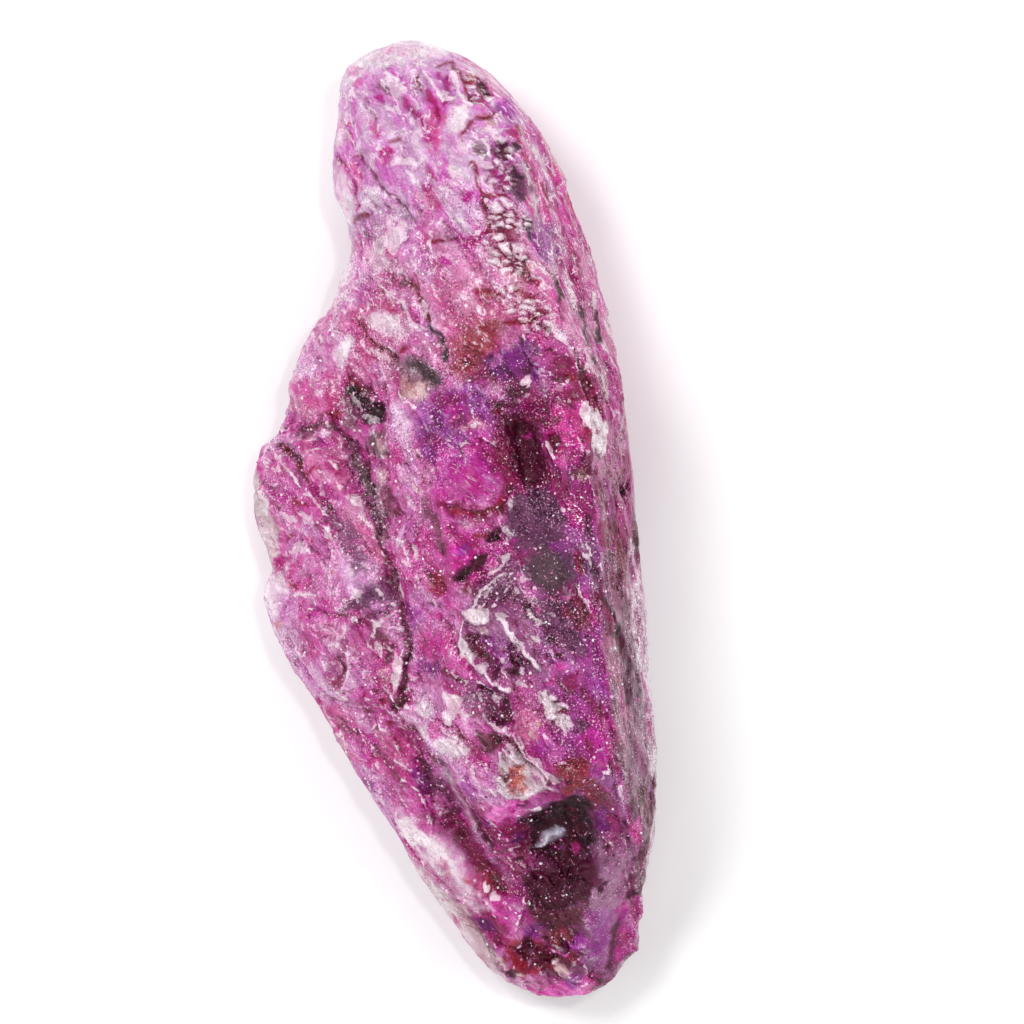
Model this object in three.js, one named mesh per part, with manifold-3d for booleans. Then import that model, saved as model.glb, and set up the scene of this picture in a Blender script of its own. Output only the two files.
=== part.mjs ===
// Rough sapphire: one long, weathered corundum crystal lying on its flattest side.
// Frame in millimetres, +Z up. The origin is on the resting face, in the middle of the stone's box.
// +Y points to the blunt pale head, -Y to the dark tip, and the steep flank is on the +X side.

import * as THREE from 'three';
import Module from 'manifold-3d';
import { LoftGeometry } from 'three/addons/geometries/LoftGeometry.js';
import { ImprovedNoise } from 'three/addons/math/ImprovedNoise.js';
import { mergeVertices } from 'three/addons/utils/BufferGeometryUtils.js';

const wasm = await Module();
wasm.setup();

// ---- Driving dimensions ----

const LENGTH = 52;        // tip to head
const STATIONS = 92;      // cross-sections along the length
const END_CROWDING = 0.55; // 0 spaces the sections evenly, 1 packs them most tightly at both ends
const LEFT_POINTS = 22;   // points of a section up the long left slope
const RIGHT_POINTS = 10;  // down the steep right flank
const UNDER_POINTS = 16;  // across the underside
const LUMP = 0.28;        // height of the broad weathered lumps
const GRIT = 0.10;        // height of the finer unevenness

// Outline seen from above, each row [y, x], from the tip to the head.
const LEFT_EDGE = [
  [-26, 2.5], [-25.9, 1.3], [-25.6, 0.0], [-24.9, -1.2], [-23.8, -2.1], [-21.8, -3.2], [-20.0, -4.1],
  [-18.3, -4.9], [-16.5, -5.5], [-15.3, -6.0], [-13.7, -6.7], [-12.1, -7.4], [-10.3, -8.0], [-8.8, -8.5],
  [-7.3, -9.2], [-5.5, -9.9], [-4.1, -10.5], [-2.5, -10.7], [-1.3, -10.2], [-0.5, -9.5], [1.2, -10.1],
  [2.7, -10.35], [4.2, -10.1], [5.7, -9.5], [6.6, -8.3], [7.7, -7.4], [9.2, -7.0], [10.7, -6.3],
  [11.9, -5.2], [13.0, -4.1], [14.2, -3.6], [15.2, -2.8], [16.2, -2.6], [17.2, -2.5], [18.2, -2.9],
  [19.2, -3.0], [21.2, -2.7], [22.8, -2.1], [24.3, -1.7], [25.2, -1.0], [25.7, 0.0], [26, 1.2],
];
const RIGHT_EDGE = [
  [-26, 3.3], [-25.6, 3.9], [-24.5, 4.4], [-23.7, 5.9], [-22.3, 6.6], [-20.8, 6.9], [-18.8, 7.6],
  [-16.8, 8.3], [-15.3, 8.5], [-13.3, 8.7], [-9.8, 9.1], [-6.8, 9.4], [-2.3, 9.9], [1.7, 10.15],
  [5.7, 10.3], [8.2, 10.45], [9.9, 10.6], [11.7, 10.3], [13.7, 10.1], [15.0, 9.8], [18.0, 9.1],
  [19.6, 8.6], [21.0, 8.0], [22.4, 7.1], [23.6, 6.4], [24.4, 5.6], [25.2, 4.2], [25.7, 3.3], [26, 2.3],
];

// Heights along the length, each row [y, z].
const LEFT_RIM = [
  [-26, 2.7], [-24, 2.6], [-20, 2.5], [-14, 2.8], [-8, 2.9], [-3, 2.5], [0, 2.6], [4, 2.3], [8, 2.9],
  [14, 3.3], [20, 3.6], [24, 3.9], [26, 4.1],
];
const RIGHT_RIM = [
  [-26, 2.8], [-24, 3.0], [-20, 3.8], [-14, 4.4], [-6, 4.7], [2, 4.6], [10, 4.2], [18, 4.0], [24, 4.1], [26, 4.2],
];
const CREST_HEIGHT = [
  [-26, 3.2], [-25.6, 4.1], [-24.8, 5.0], [-23, 6.3], [-20, 8.5], [-18, 9.7], [-16, 10.8], [-13, 12.0],
  [-10, 12.7], [-6, 12.95], [-2, 12.9], [2, 12.7], [6, 12.4], [10, 11.8], [13, 11.2], [17, 10.3],
  [21, 9.1], [23.5, 7.8], [25, 6.6], [25.7, 5.7], [26, 4.8],
];
const KEEL_HEIGHT = [
  [-26, 2.2], [-25.6, 1.7], [-24.8, 1.1], [-23.5, 0.5], [-21.5, -0.1], [-18, -0.6], [-10, -0.9],
  [0, -0.9], [10, -0.9], [18, -0.7], [21.5, -0.2], [23.5, 0.6], [25, 1.8], [25.7, 2.8], [26, 3.6],
];

// Plan position of the crest and of the keel, each row [y, x].
const CREST = [
  [-26, 2.9], [-24, 3.0], [-21, 3.9], [-18, 4.8], [-14, 5.3], [-8, 5.8], [-2, 6.0], [3, 6.6], [8, 6.6],
  [13, 5.8], [17, 5.0], [21, 4.4], [24, 3.2], [26, 1.8],
];
const KEEL = [[-26, 2.9], [-20, 1.6], [-10, 0.4], [0, 0.0], [10, 1.6], [20, 2.8], [26, 1.8]];

// How boxy a section is: 1 is a straight slope, 2 an ellipse, higher squarer.
const LEFT_FULLNESS = 1.24;
const RIGHT_FULLNESS = 2.5;
const UNDER_FULLNESS = 1.9;

// Relief of the upper side: a line of [x, y] points, the half width of the feature, and its height,
// negative where it is cut in.
const RELIEF = [
  // Main cleft down the middle, and the trough that carries it on to the tip.
  { line: [[-3.3, 9.0], [-3.0, 7.0], [-3.7, 4.7], [-3.4, 0.2], [-3.0, -4.3], [-3.6, -7.8]],
    half: 1.1, height: -1.1 },
  { line: [[-4.0, -11.2], [-2.6, -13.3], [-1.8, -16.0], [-0.5, -19.2]], half: 1.4, height: -1.2 },
  // Valley and side cleft of the upper left lobe.
  { line: [[-6.0, 6.4], [-4.4, 5.0], [-3.8, 3.0]], half: 0.9, height: -0.7 },
  { line: [[-8.2, 6.2], [-7.3, 3.6], [-6.0, 1.7], [-5.3, 0.2]], half: 0.6, height: -0.55 },
  // Crease between the two left lobes, and the crease below the lower one.
  { line: [[-9.4, -0.6], [-8.2, -1.4], [-7.0, -1.9]], half: 0.6, height: -0.7 },
  { line: [[-8.2, -8.5], [-5.8, -9.3]], half: 0.9, height: -0.5 },
  // Left lobes and the ridge outside the trough.
  { line: [[-7.6, 4.3]], half: 2.4, height: 0.7 },
  { line: [[-7.6, -3.6], [-6.8, -5.4]], half: 2.4, height: 0.7 },
  { line: [[-5.2, -12.6], [-4.4, -15.8], [-2.9, -19.0]], half: 1.1, height: 0.6 },
  // Long furrows of the head.
  { line: [[-1.3, 20.2], [0.0, 18.0], [1.0, 16.2]], half: 0.6, height: -0.45 },
  { line: [[-0.6, 13.2], [0.6, 10.9], [1.5, 8.2]], half: 0.7, height: -0.5 },
  { line: [[-3.0, 11.4], [-1.4, 9.0]], half: 0.6, height: -0.4 },
  // Shelf where the head steps down to the flank.
  { line: [[5.9, 21.6], [5.9, 17.0], [5.9, 12.4]], half: 0.8, height: -0.5 },
  // Middle boss, the dark pit beside it, the swell to its right and the smoky flat below.
  { line: [[1.5, 2.3]], half: 2.0, height: 0.8 },
  { line: [[4.8, 4.3], [4.8, 1.8]], half: 1.2, height: -1.7 },
  { line: [[7.3, 3.9]], half: 1.7, height: 0.5 },
  { line: [[4.9, -2.2], [5.0, -5.2]], half: 1.7, height: -0.75 },
  { line: [[1.4, -2.2], [2.6, -2.0]], half: 1.1, height: -0.6 },
  // Ribs and windows of the lower middle.
  { line: [[0.0, -5.3], [0.3, -7.4], [1.8, -9.2]], half: 0.7, height: 0.45 },
  { line: [[1.7, -4.8], [2.7, -6.6], [3.3, -7.8]], half: 0.6, height: 0.35 },
  { line: [[1.1, -10.2], [1.2, -12.4]], half: 0.9, height: -0.55 },
  // Deep hollow above the tip and the lower floor that leads out of it.
  { line: [[2.4, -17.3], [3.4, -17.0]], half: 2.1, height: -2.9 },
  { line: [[2.2, -19.4], [1.6, -22.4]], half: 1.6, height: -1.4 },
];

// Flat breaks, each a point on the plane and the direction it faces.
const BREAKS = [
  { point: [4.7, -19.0, 8.7], facing: [0.47, -0.60, 0.65] },      // mauve flat right of the tip
  { point: [-5.4, -16.3, 4.7], facing: [-0.81, -0.43, 0.40] },    // narrow bevel left of the tip
  { point: [7.5, -8.0, 11.4], facing: [0.954, -0.095, 0.286] },   // lower right flank
  { point: [7.9, 10.0, 11.0], facing: [0.930, 0.140, 0.340] },    // upper right flank
  { point: [9.4, -8.0, 3.0], facing: [0.800, -0.060, -0.600] },   // undercut of the right flank
  { point: [9.6, 11.0, 2.4], facing: [0.760, 0.200, -0.620] },
  { point: [-9.0, 3.0, 1.2], facing: [-0.560, 0.160, -0.810] },   // undercut of the left lobes
  { point: [-8.0, -9.0, 1.6], facing: [-0.640, -0.250, -0.730] },
  { point: [1.0, 24.6, 2.0], facing: [0.000, 0.640, -0.770] },    // undercut of the head
  { point: [2.0, -23.8, 0.9], facing: [-0.050, -0.560, -0.830] }, // undercut of the tip
  { point: [0.0, 0.0, 0.0], facing: [0, 0, -1] },                 // resting face
];

const STONE_COLOUR = 0x9c3c8c;

// ---- Tools ----

// A value read between the rows of a list, with straight or smooth runs.
function between(rows, Interpolant) {
  const places = rows.map((row) => row[0]);
  const values = rows.map((row) => row[1]);
  const reader = new Interpolant(places, values, 1);
  return (y) => reader.evaluate(y)[0];
}

function distanceToLine(x, y, line) {
  const here = new THREE.Vector3(x, y, 0);
  if (line.length === 1) return Math.hypot(x - line[0][0], y - line[0][1]);
  let nearest = Infinity;
  for (let i = 1; i < line.length; i += 1) {
    const start = new THREE.Vector3(...line[i - 1], 0);
    const end = new THREE.Vector3(...line[i], 0);
    const foot = new THREE.Line3(start, end).closestPointToPoint(here, true, new THREE.Vector3());
    nearest = Math.min(nearest, foot.distanceTo(here));
  }
  return nearest;
}

function reliefAt(x, y) {
  let height = 0;
  for (const feature of RELIEF) {
    const away = distanceToLine(x, y, feature.line) / feature.half;
    height += feature.height * Math.exp(-away * away);
  }
  return height;
}

// Rise of a rounded slope at a share of its run, 0 at the foot and 1 at the top.
function slopeRise(run, fullness) {
  return Math.pow(1 - Math.pow(1 - run, fullness), 1 / fullness);
}

function solidFrom(geometry) {
  const bare = new THREE.BufferGeometry();
  bare.setAttribute('position', geometry.attributes.position);
  bare.setIndex(geometry.index);
  const merged = mergeVertices(bare, 1e-4);
  return new wasm.Manifold(new wasm.Mesh({
    numProp: 3,
    vertProperties: new Float32Array(merged.attributes.position.array),
    triVerts: new Uint32Array(merged.index.array),
  }));
}

// Everything outside a flat break, as a large block lying on the plane.
function wasteOutside({ point, facing }) {
  const size = 4 * LENGTH;
  const direction = new THREE.Vector3(...facing).normalize();
  const block = new THREE.BoxGeometry(size, size, size);
  block.translate(0, 0, size / 2);
  block.applyQuaternion(new THREE.Quaternion().setFromUnitVectors(new THREE.Vector3(0, 0, 1), direction));
  block.translate(...point);
  return solidFrom(block);
}

// ---- The stone ----

const leftEdge = between(LEFT_EDGE, THREE.LinearInterpolant);
const rightEdge = between(RIGHT_EDGE, THREE.LinearInterpolant);
const leftRim = between(LEFT_RIM, THREE.CubicInterpolant);
const rightRim = between(RIGHT_RIM, THREE.CubicInterpolant);
const crestHeight = between(CREST_HEIGHT, THREE.CubicInterpolant);
const keelHeight = between(KEEL_HEIGHT, THREE.CubicInterpolant);
const crestAcross = between(CREST, THREE.CubicInterpolant);
const keelAcross = between(KEEL, THREE.CubicInterpolant);
const noise = new ImprovedNoise();

// One smooth section of the stone, as [x, z, share of relief] points from the left rim over the crest
// to the right rim and back along the underside.
function smoothSection(y) {
  const left = leftEdge(y);
  const right = rightEdge(y);
  const crestX = crestAcross(y);
  const crestZ = crestHeight(y);
  const keelX = keelAcross(y);
  const keelZ = keelHeight(y);
  const points = [];
  for (let i = 0; i < LEFT_POINTS; i += 1) {
    const run = Math.pow(i / LEFT_POINTS, 1.35);
    const rise = slopeRise(run, LEFT_FULLNESS);
    const share = THREE.MathUtils.smoothstep(run, 0.0, 0.16);
    points.push([
      THREE.MathUtils.lerp(left, crestX, run),
      THREE.MathUtils.lerp(leftRim(y), crestZ, rise),
      share,
    ]);
  }
  for (let i = 0; i < RIGHT_POINTS; i += 1) {
    const angle = (i / RIGHT_POINTS) * Math.PI / 2;
    const run = Math.pow(Math.sin(angle), 2 / RIGHT_FULLNESS);
    const rise = Math.pow(Math.cos(angle), 2 / RIGHT_FULLNESS);
    points.push([
      THREE.MathUtils.lerp(crestX, right, run),
      THREE.MathUtils.lerp(rightRim(y), crestZ, rise),
      1 - THREE.MathUtils.smoothstep(run, 0.55, 1.0),
    ]);
  }
  for (let i = 0; i < UNDER_POINTS; i += 1) {
    const angle = (i / UNDER_POINTS) * Math.PI;
    const run = Math.pow(Math.abs(Math.cos(angle)), 2 / UNDER_FULLNESS);
    const drop = Math.pow(Math.sin(angle), 2 / UNDER_FULLNESS);
    const onRight = angle < Math.PI / 2;
    points.push([
      THREE.MathUtils.lerp(keelX, onRight ? right : left, run),
      THREE.MathUtils.lerp(onRight ? rightRim(y) : leftRim(y), keelZ, drop),
      0,
    ]);
  }
  return points;
}

// The same section with its relief and its weathered lumps.
function stoneSection(y) {
  const end = THREE.MathUtils.smoothstep(LENGTH / 2 - Math.abs(y), 0, 3);
  const middle = new THREE.Vector2(keelAcross(y), (crestHeight(y) + keelHeight(y)) / 2);
  return smoothSection(y).map(([x, z, share]) => {
    const outward = new THREE.Vector2(x, z).sub(middle).normalize();
    const lump = LUMP * noise.noise(x / 4.1 + 9.3, y / 5.3 + 2.7, z / 4.1 + 5.1);
    const grit = GRIT * noise.noise(x / 1.3 + 3.1, y / 1.9 + 8.2, z / 1.3 + 1.4);
    const swell = end * (lump + grit) * (0.35 + 0.65 * share);
    const height = z + end * share * reliefAt(x, y);
    return new THREE.Vector3(x + outward.x * swell, y, height + outward.y * swell);
  });
}

const sections = [];
for (let i = 0; i <= STATIONS; i += 1) {
  const even = 2 * i / STATIONS - 1;
  const crowded = -Math.cos(Math.PI * i / STATIONS);
  const y = (LENGTH / 2) * THREE.MathUtils.lerp(even, crowded, END_CROWDING);
  sections.push(stoneSection(THREE.MathUtils.clamp(y, -LENGTH / 2, LENGTH / 2)));
}

let stone = solidFrom(new LoftGeometry(sections, { capStart: true, capEnd: true }));
for (const flatBreak of BREAKS) {
  stone = stone.subtract(wasteOutside(flatBreak));
}

const cut = stone.getMesh();
const geometry = new THREE.BufferGeometry();
geometry.setAttribute('position', new THREE.BufferAttribute(new Float32Array(cut.vertProperties), 3));
geometry.setIndex(new THREE.BufferAttribute(new Uint32Array(cut.triVerts), 1));
geometry.computeVertexNormals();

const rough_stone = new THREE.Mesh(
  geometry,
  new THREE.MeshStandardMaterial({ color: STONE_COLOUR, roughness: 0.45, metalness: 0, flatShading: true }),
);
rough_stone.name = 'rough_stone';

const part = new THREE.Group();
part.name = 'rough_sapphire';
part.add(rough_stone);

export default part;
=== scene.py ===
"""Rough sapphire: one long pink-purple corundum crystal and the mineral grains that stick to it.

Blender works in metres. The sizes written here are millimetres in the stone's own frame: +Y runs to the
blunt pale head, +X to the steep flank, +Z up from the side it rests on.
"""

import math

import bmesh
import bpy
import numpy as np
from mathutils import Matrix, noise


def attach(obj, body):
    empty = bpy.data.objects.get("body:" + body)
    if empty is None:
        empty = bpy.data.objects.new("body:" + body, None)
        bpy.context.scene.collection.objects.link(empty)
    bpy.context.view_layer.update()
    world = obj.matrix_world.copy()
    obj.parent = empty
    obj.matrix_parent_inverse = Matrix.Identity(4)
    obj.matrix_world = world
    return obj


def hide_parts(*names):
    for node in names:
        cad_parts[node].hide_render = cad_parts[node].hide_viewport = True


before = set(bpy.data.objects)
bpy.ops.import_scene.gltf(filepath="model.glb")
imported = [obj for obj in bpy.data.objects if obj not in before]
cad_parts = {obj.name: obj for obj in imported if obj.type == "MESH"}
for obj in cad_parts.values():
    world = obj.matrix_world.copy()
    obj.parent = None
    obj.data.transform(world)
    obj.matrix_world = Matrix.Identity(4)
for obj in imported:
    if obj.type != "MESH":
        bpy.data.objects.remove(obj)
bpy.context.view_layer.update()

# ---- The stone: an even skin over the solid ------------------------------------------------------------
# The crystal grew as one mass. The solid gives its size and large forms. The skin laid over it here has
# vertices close enough to carry the clefts, ribs and chips, and is coarser on the side it rests on.
MM = 0.001
SAME_SPOT = 0.5e-6
SKIN_STEP = 0.138

cad_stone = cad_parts["rough_stone"]
shell = bmesh.new()
shell.from_mesh(cad_stone.data)
bmesh.ops.remove_doubles(shell, verts=shell.verts, dist=SAME_SPOT)
bmesh.ops.scale(shell, vec=(1 / MM, 1 / MM, 1 / MM), verts=shell.verts)
solid_mesh = bpy.data.meshes.new("solid")
shell.to_mesh(solid_mesh)
shell.free()
stone = bpy.data.objects.new("rough_crystal", solid_mesh)
bpy.context.scene.collection.objects.link(stone)


def bake_modifiers(thing):
    """Swaps an object's mesh for the result of its modifiers and drops them."""
    seen = thing.evaluated_get(bpy.context.evaluated_depsgraph_get())
    made = bpy.data.meshes.new_from_object(seen)
    thing.modifiers.clear()
    thing.data = made


def read_points(mesh):
    points = np.empty(len(mesh.vertices) * 3)
    mesh.vertices.foreach_get("co", points)
    return points.reshape(-1, 3)


def thin(thing, chosen, share):
    """Joins triangles among the chosen vertices until the mesh is down to a share of its triangles, or
    until none of them are left to join."""
    thinned = thing.vertex_groups.new(name="thinned")
    thinned.add(np.flatnonzero(chosen).tolist(), 1.0, "REPLACE")
    thinning = thing.modifiers.new("thinning", "DECIMATE")
    thinning.vertex_group = "thinned"
    thinning.ratio = share
    thinning.use_collapse_triangulate = True
    bake_modifiers(thing)
    thing.vertex_groups.clear()


skin = stone.modifiers.new("skin", "REMESH")
skin.mode = "VOXEL"
skin.voxel_size = SKIN_STEP
bake_modifiers(stone)

# Only the foot may be joined here. It runs out of triangles well before the mesh is down to this share.
RESTING_HEIGHT = 0.05
FOOT_SHARE = 0.59
thin(stone, read_points(stone.data)[:, 2] < RESTING_HEIGHT, FOOT_SHARE)

place = read_points(stone.data)
vertex_count = len(place)
corners = np.empty(len(stone.data.polygons) * 3, int)
stone.data.loops.foreach_get("vertex_index", corners)
corners = corners.reshape(-1, 3)
links = np.empty(len(stone.data.edges) * 2, int)
stone.data.edges.foreach_get("vertices", links)
links = links.reshape(-1, 2)
link_count = np.bincount(links.ravel(), minlength=vertex_count)[:, None]


def summed(rows, values):
    """Adds up values, one row each, on the vertices they belong to."""
    return np.stack([np.bincount(rows, column, vertex_count) for column in values.T], axis=1)


def neighbour_mean(values):
    a, b = links.T
    return (summed(a, values[b]) + summed(b, values[a])) / link_count


def relax(points, rounds, pull=0.55, push=0.57):
    """Smooths without shrinking: each round pulls the points together and pushes them out again."""
    for _ in range(rounds):
        points = points + pull * (neighbour_mean(points) - points)
        points = points - push * (neighbour_mean(points) - points)
    return points


def facing(points):
    """Outward direction at each vertex."""
    a, b, c = (points[corners[:, i]] for i in range(3))
    flat = np.cross(b - a, c - a)
    total = sum(summed(corners[:, i], flat) for i in range(3))
    return total / np.linalg.norm(total, axis=1, keepdims=True)


def perlin(points, scale, offset=0.0):
    return np.array([noise.noise(p) for p in (points / scale + offset).tolist()])


EVENING_ROUNDS = 6
FOOT_HEIGHT = 0.06
place = relax(place, EVENING_ROUNDS)
foot = place[:, 2] < FOOT_HEIGHT
outward = facing(place)
for _ in range(EVENING_ROUNDS):
    outward = neighbour_mean(outward)
outward /= np.linalg.norm(outward, axis=1, keepdims=True)

# ---- The stone: chips along its grain ------------------------------------------------------------------
# Corundum parts in flat steps. The grain leans across the stone and runs straight down its right side.
# Cells of three sizes, drawn out along it, are each flattened and tipped.
LEAN = 0.5


def ramp(values, start, softness=1.5):
    """0 below start, rising by one a millimetre above it, with a soft bend."""
    return softness * np.logaddexp(0, (values - start) / softness)


x, y, z = place.T
on_right = np.clip((x - 6) / 2.5, 0, 1)
across = x + LEAN * y + LEAN * on_right * ramp(-y, -2)
grain = np.stack([across, y, z], axis=1)
head_share = 1 / (1 + np.exp(-(y - 16) / 1.2))
flank = np.clip((outward[:, 0] - 0.45) / 0.25, 0, 1)
upper = np.clip((outward[:, 2] + 0.05) / 0.35, 0, 1)

wander = np.stack([perlin(place, 1.3, 3.1), perlin(place, 1.3, 7.7)], axis=1)
wander += 0.6 * np.stack([perlin(place, 0.5, 5.3), perlin(place, 0.5, 9.9)], axis=1)
plan = place[:, :2] + 0.26 * wander
ragged = perlin(place, 0.8, 1.7) + 0.8 * perlin(place, 0.35, 4.4)
bent = grain + 0.5 * np.stack([perlin(place, 1.6, 2.2), perlin(place, 1.6, 8.8), 0 * x], axis=1)


def drawn(size, draw_out, offset):
    """Noise whose lumps are drawn out along the bent grain."""
    return perlin(bent / (1, draw_out, 1), size, offset)


def off_segment(here, start, end):
    """A segment's run, how far along it each point's nearest spot is (0 to 1), and the way from there."""
    run = end - start
    reached = np.clip((here - start) @ run / (run @ run), 0, 1)
    return run, reached, here - start - reached[:, None] * run


def along(points, reach):
    """Vertices near a line of (x, y) points seen from above, how far off it they are, raggedly, and on
    which side: positive is to its left. The line thins out towards its ends."""
    line = np.array(points, float)
    low, high = line.min(axis=0) - reach, line.max(axis=0) + reach
    inside = np.all((plan > low) & (plan < high), axis=1) & (upper > 0)
    near = np.flatnonzero(inside)
    here = plan[near]
    if len(line) == 1:
        gap = np.linalg.norm(here - line[0], axis=1)
        return near, gap * (1 + 0.5 * ragged[near]), np.ones(len(near))
    gap = np.full(len(near), np.inf)
    side = np.ones(len(near))
    passed = np.zeros(len(near))
    walked = 0.0
    for start, end in zip(line, line[1:]):
        run, reached, off = off_segment(here, start, end)
        length = np.linalg.norm(off, axis=1)
        closer = length < gap
        gap[closer] = length[closer]
        side[closer] = np.sign(run[0] * off[closer, 1] - run[1] * off[closer, 0])
        passed[closer] = walked + reached[closer] * np.linalg.norm(run)
        walked += np.linalg.norm(run)
    to_end = np.minimum(passed, walked - passed) / (0.35 * reach)
    thin = np.clip(0.45 + to_end, 0.45, 1)
    return near, gap * (1 + 0.5 * ragged[near]) / thin, side


def within(outline, reach):
    """Vertices in or near a closed outline of (x, y) points, and how far inside it they are."""
    shape = np.array(outline, float)
    low, high = shape.min(axis=0) - reach, shape.max(axis=0) + reach
    near = np.flatnonzero(np.all((plan > low) & (plan < high), axis=1) & (upper > 0))
    here = plan[near]
    inner = np.zeros(len(near), bool)
    gap = np.full(len(near), np.inf)
    for start, end in zip(shape, np.roll(shape, -1, axis=0)):
        run, _, off = off_segment(here, start, end)
        gap = np.minimum(gap, np.linalg.norm(off, axis=1))
        level = (here[:, 1] - start[1]) / (run[1] if run[1] else 1)
        passes = (start[1] > here[:, 1]) != (end[1] > here[:, 1])
        inner ^= passes & (here[:, 0] < start[0] + level * run[0])
    return near, np.where(inner, gap, -gap)


# Flat or glassy places: the boss, the smoky flat, the sliver in the trough, the bevels of the tip.
calm = 0.5 * head_share
for half, line in (
        (1.3, [(1.2, 2.9), (1.8, 1.8)]),
        (1.3, [(4.9, -1.0), (4.9, -3.8)]),
        (0.4, [(-2.6, -12.4), (-2.0, -14.0), (-1.6, -15.8), (-1.0, -17.4), (-0.2, -18.8)]),
        (0.6, [(-5.2, -17.4), (-4.2, -19.8), (-3.0, -22.2), (-1.9, -24.2)]),
        (0.9, [(5.1, -18.4), (4.9, -20.4), (4.5, -22.4), (4.0, -24.6)]),
        (0.5, [(4.7, 4.6), (4.9, 1.6)]),
        (1.8, [(2.4, -16.8), (3.6, -16.4), (3.4, -17.8)]),
        (0.8, [(-3.4, -16.2), (-2.6, -17.8), (-1.9, -19.3)])):
    near, gap, _ = along(line, 2 * half)
    calm[near] = np.maximum(calm[near], np.clip(1.7 - gap / half, 0, 0.9))
rough = (1 - calm) * (0.35 + 0.65 * upper) * (1 - 0.35 * flank)


def chip(points, size, draw_out, flatten, tip, seed):
    """Flattens each cell of the grain towards its own plane, tips it and steps it in or out a little."""
    spread = grain / (size, size * draw_out, size) + seed
    nearest = np.array([noise.voronoi(p)[1][0] for p in spread.tolist()])
    cell = np.unique(np.round(nearest, 4), axis=0, return_inverse=True)[1].reshape(-1)
    cells = cell.max() + 1
    members = np.bincount(cell, minlength=cells)[:, None]

    def cell_mean(values):
        return np.stack([np.bincount(cell, column, cells) for column in values.T], axis=1) / members

    middle = cell_mean(points)
    rng = np.random.default_rng(seed)
    tilt = cell_mean(outward) + rng.normal(0, tip, (cells, 3))
    tilt /= np.linalg.norm(tilt, axis=1, keepdims=True)
    height = np.sum((points - middle[cell]) * tilt[cell], axis=1)
    step = rng.normal(0, 0.02 * size, cells)[cell]
    facet_tone[:] += rng.normal(0, 1, cells)[cell]
    return points + (rough * (step - flatten * height))[:, None] * tilt[cell]


facet_tone = np.zeros(vertex_count)
place = chip(place, 3.4, 2.4, 0.6, 0.08, 3)
place = relax(place, 1)
lobes = 0.55 * np.abs(drawn(2.3, 2.2, 4.0)) + 0.34 * np.abs(drawn(1.1, 2.6, 23.0))
wrinkles = 0.20 - 0.27 * np.abs(drawn(0.8, 2.6, 9.0)) - 0.23 * np.abs(drawn(0.42, 2.8, 14.0))
place = place + (rough * (lobes + wrinkles - 0.2))[:, None] * outward
place = chip(place, 1.1, 2.6, 0.6, 0.14, 11)
place = relax(place, 1)
place = chip(place, 0.5, 2.0, 0.6, 0.16, 19)

# The lobe on the right of the tip stands out a little past the solid.
swell = 0.95 * np.exp(-((x - 4.9) / 1.4) ** 2 - ((y + 24.7) / 1.3) ** 2)
swell = np.outer(swell, (1, -0.15, 0))
place = place + swell
plan = plan + swell[:, :2]

# ---- The stone: its colours ----------------------------------------------------------------------------
# Trace elements colour corundum in clouds, not in layers: pale lilac in the head, magenta and violet in the
# middle, plum towards the tip, with rust and mica where other minerals are caught in it. Frost marks are
# painted highlights: white where the glassy skin catches the light.


def linear(red, green, blue):
    """A screen colour, 0 to 255, as the light it stands for."""
    return (np.array([red, green, blue]) / 255) ** 2.2


PALETTE = {
    "bone": linear(210, 184, 192),
    # Partly the stone's pale colour, partly painted sheen where the glassy skin reflects the room.
    "pearl_sheen": linear(228, 200, 218),
    "lilac": linear(205, 136, 194),
    "rose": linear(196, 104, 152),
    "fuchsia": linear(232, 88, 190),
    "pink": linear(190, 62, 142),
    "magenta": linear(166, 22, 126),
    "orchid": linear(146, 52, 146),
    "violet": linear(104, 30, 106),
    "wine": linear(116, 12, 66),
    "crimson": linear(134, 6, 48),
    "plum": linear(74, 8, 46),
    # Painted shade: near black for pits, holes and deep hollows.
    "shade_black": linear(42, 3, 24),
    "rust": linear(148, 66, 78),
    "brown": linear(96, 46, 56),
    "ochre": linear(186, 96, 78),
    "sand": linear(196, 150, 152),
    "smoke": linear(66, 44, 56),
    "slate": linear(92, 48, 80),
    "olive": linear(112, 84, 90),
    "dust": linear(158, 96, 140),
    "mica": linear(34, 34, 30),
    # Painted glint.
    "painted_glint": linear(208, 204, 226),
}
tint = np.empty((vertex_count, 3))
tint[:] = 0.7 * PALETTE["pink"] + 0.3 * PALETTE["lilac"]
# Frost marks are painted highlights: white where the glassy skin catches the light.
painted_highlight = np.zeros(vertex_count)
broad = drawn(2.4, 2.0, 12.0) + 0.5 * drawn(1.1, 2.0, 2.0)


def wash(colour, weight):
    """Tints the whole stone by a weight at each vertex."""
    share = np.clip(weight, 0, 1)[:, None]
    tint[:] = tint * (1 - share) + PALETTE[colour] * share


def lay(colour, near, weight):
    """Lays a colour, or a painted highlight, on some of the vertices."""
    if colour == "painted_highlight":
        painted_highlight[near] = np.maximum(painted_highlight[near], weight * np.clip(3 * upper[near], 0, 1))
        return
    weight = weight * weight * (3 - 2 * weight) * upper[near]
    tint[near] = tint[near] * (1 - weight[:, None]) + PALETTE[colour] * weight[:, None]
    painted_highlight[near] *= 1 - 0.8 * weight


def smear(colour, half, strength, *lines, edge=0.8):
    """Colour along lines or round points. Its edge is never finer than the skin can carry."""
    for line in lines:
        near, gap, _ = along(line, 2.0 * half + 0.4)
        fade = max(edge * half, 0.32 if colour == "painted_highlight" else 0.2)
        lay(colour, near, np.clip(0.5 + (max(half, 0.09) - gap) / fade, 0, 1) * strength)


def area(colour, strength, *outlines, soft=0.35):
    """Colour inside outlines."""
    for outline in outlines:
        near, depth = within(outline, soft)
        depth = depth + 0.34 * ragged[near]
        lay(colour, near, np.clip(0.5 + depth / max(soft, 0.3), 0, 1) * strength)


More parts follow.
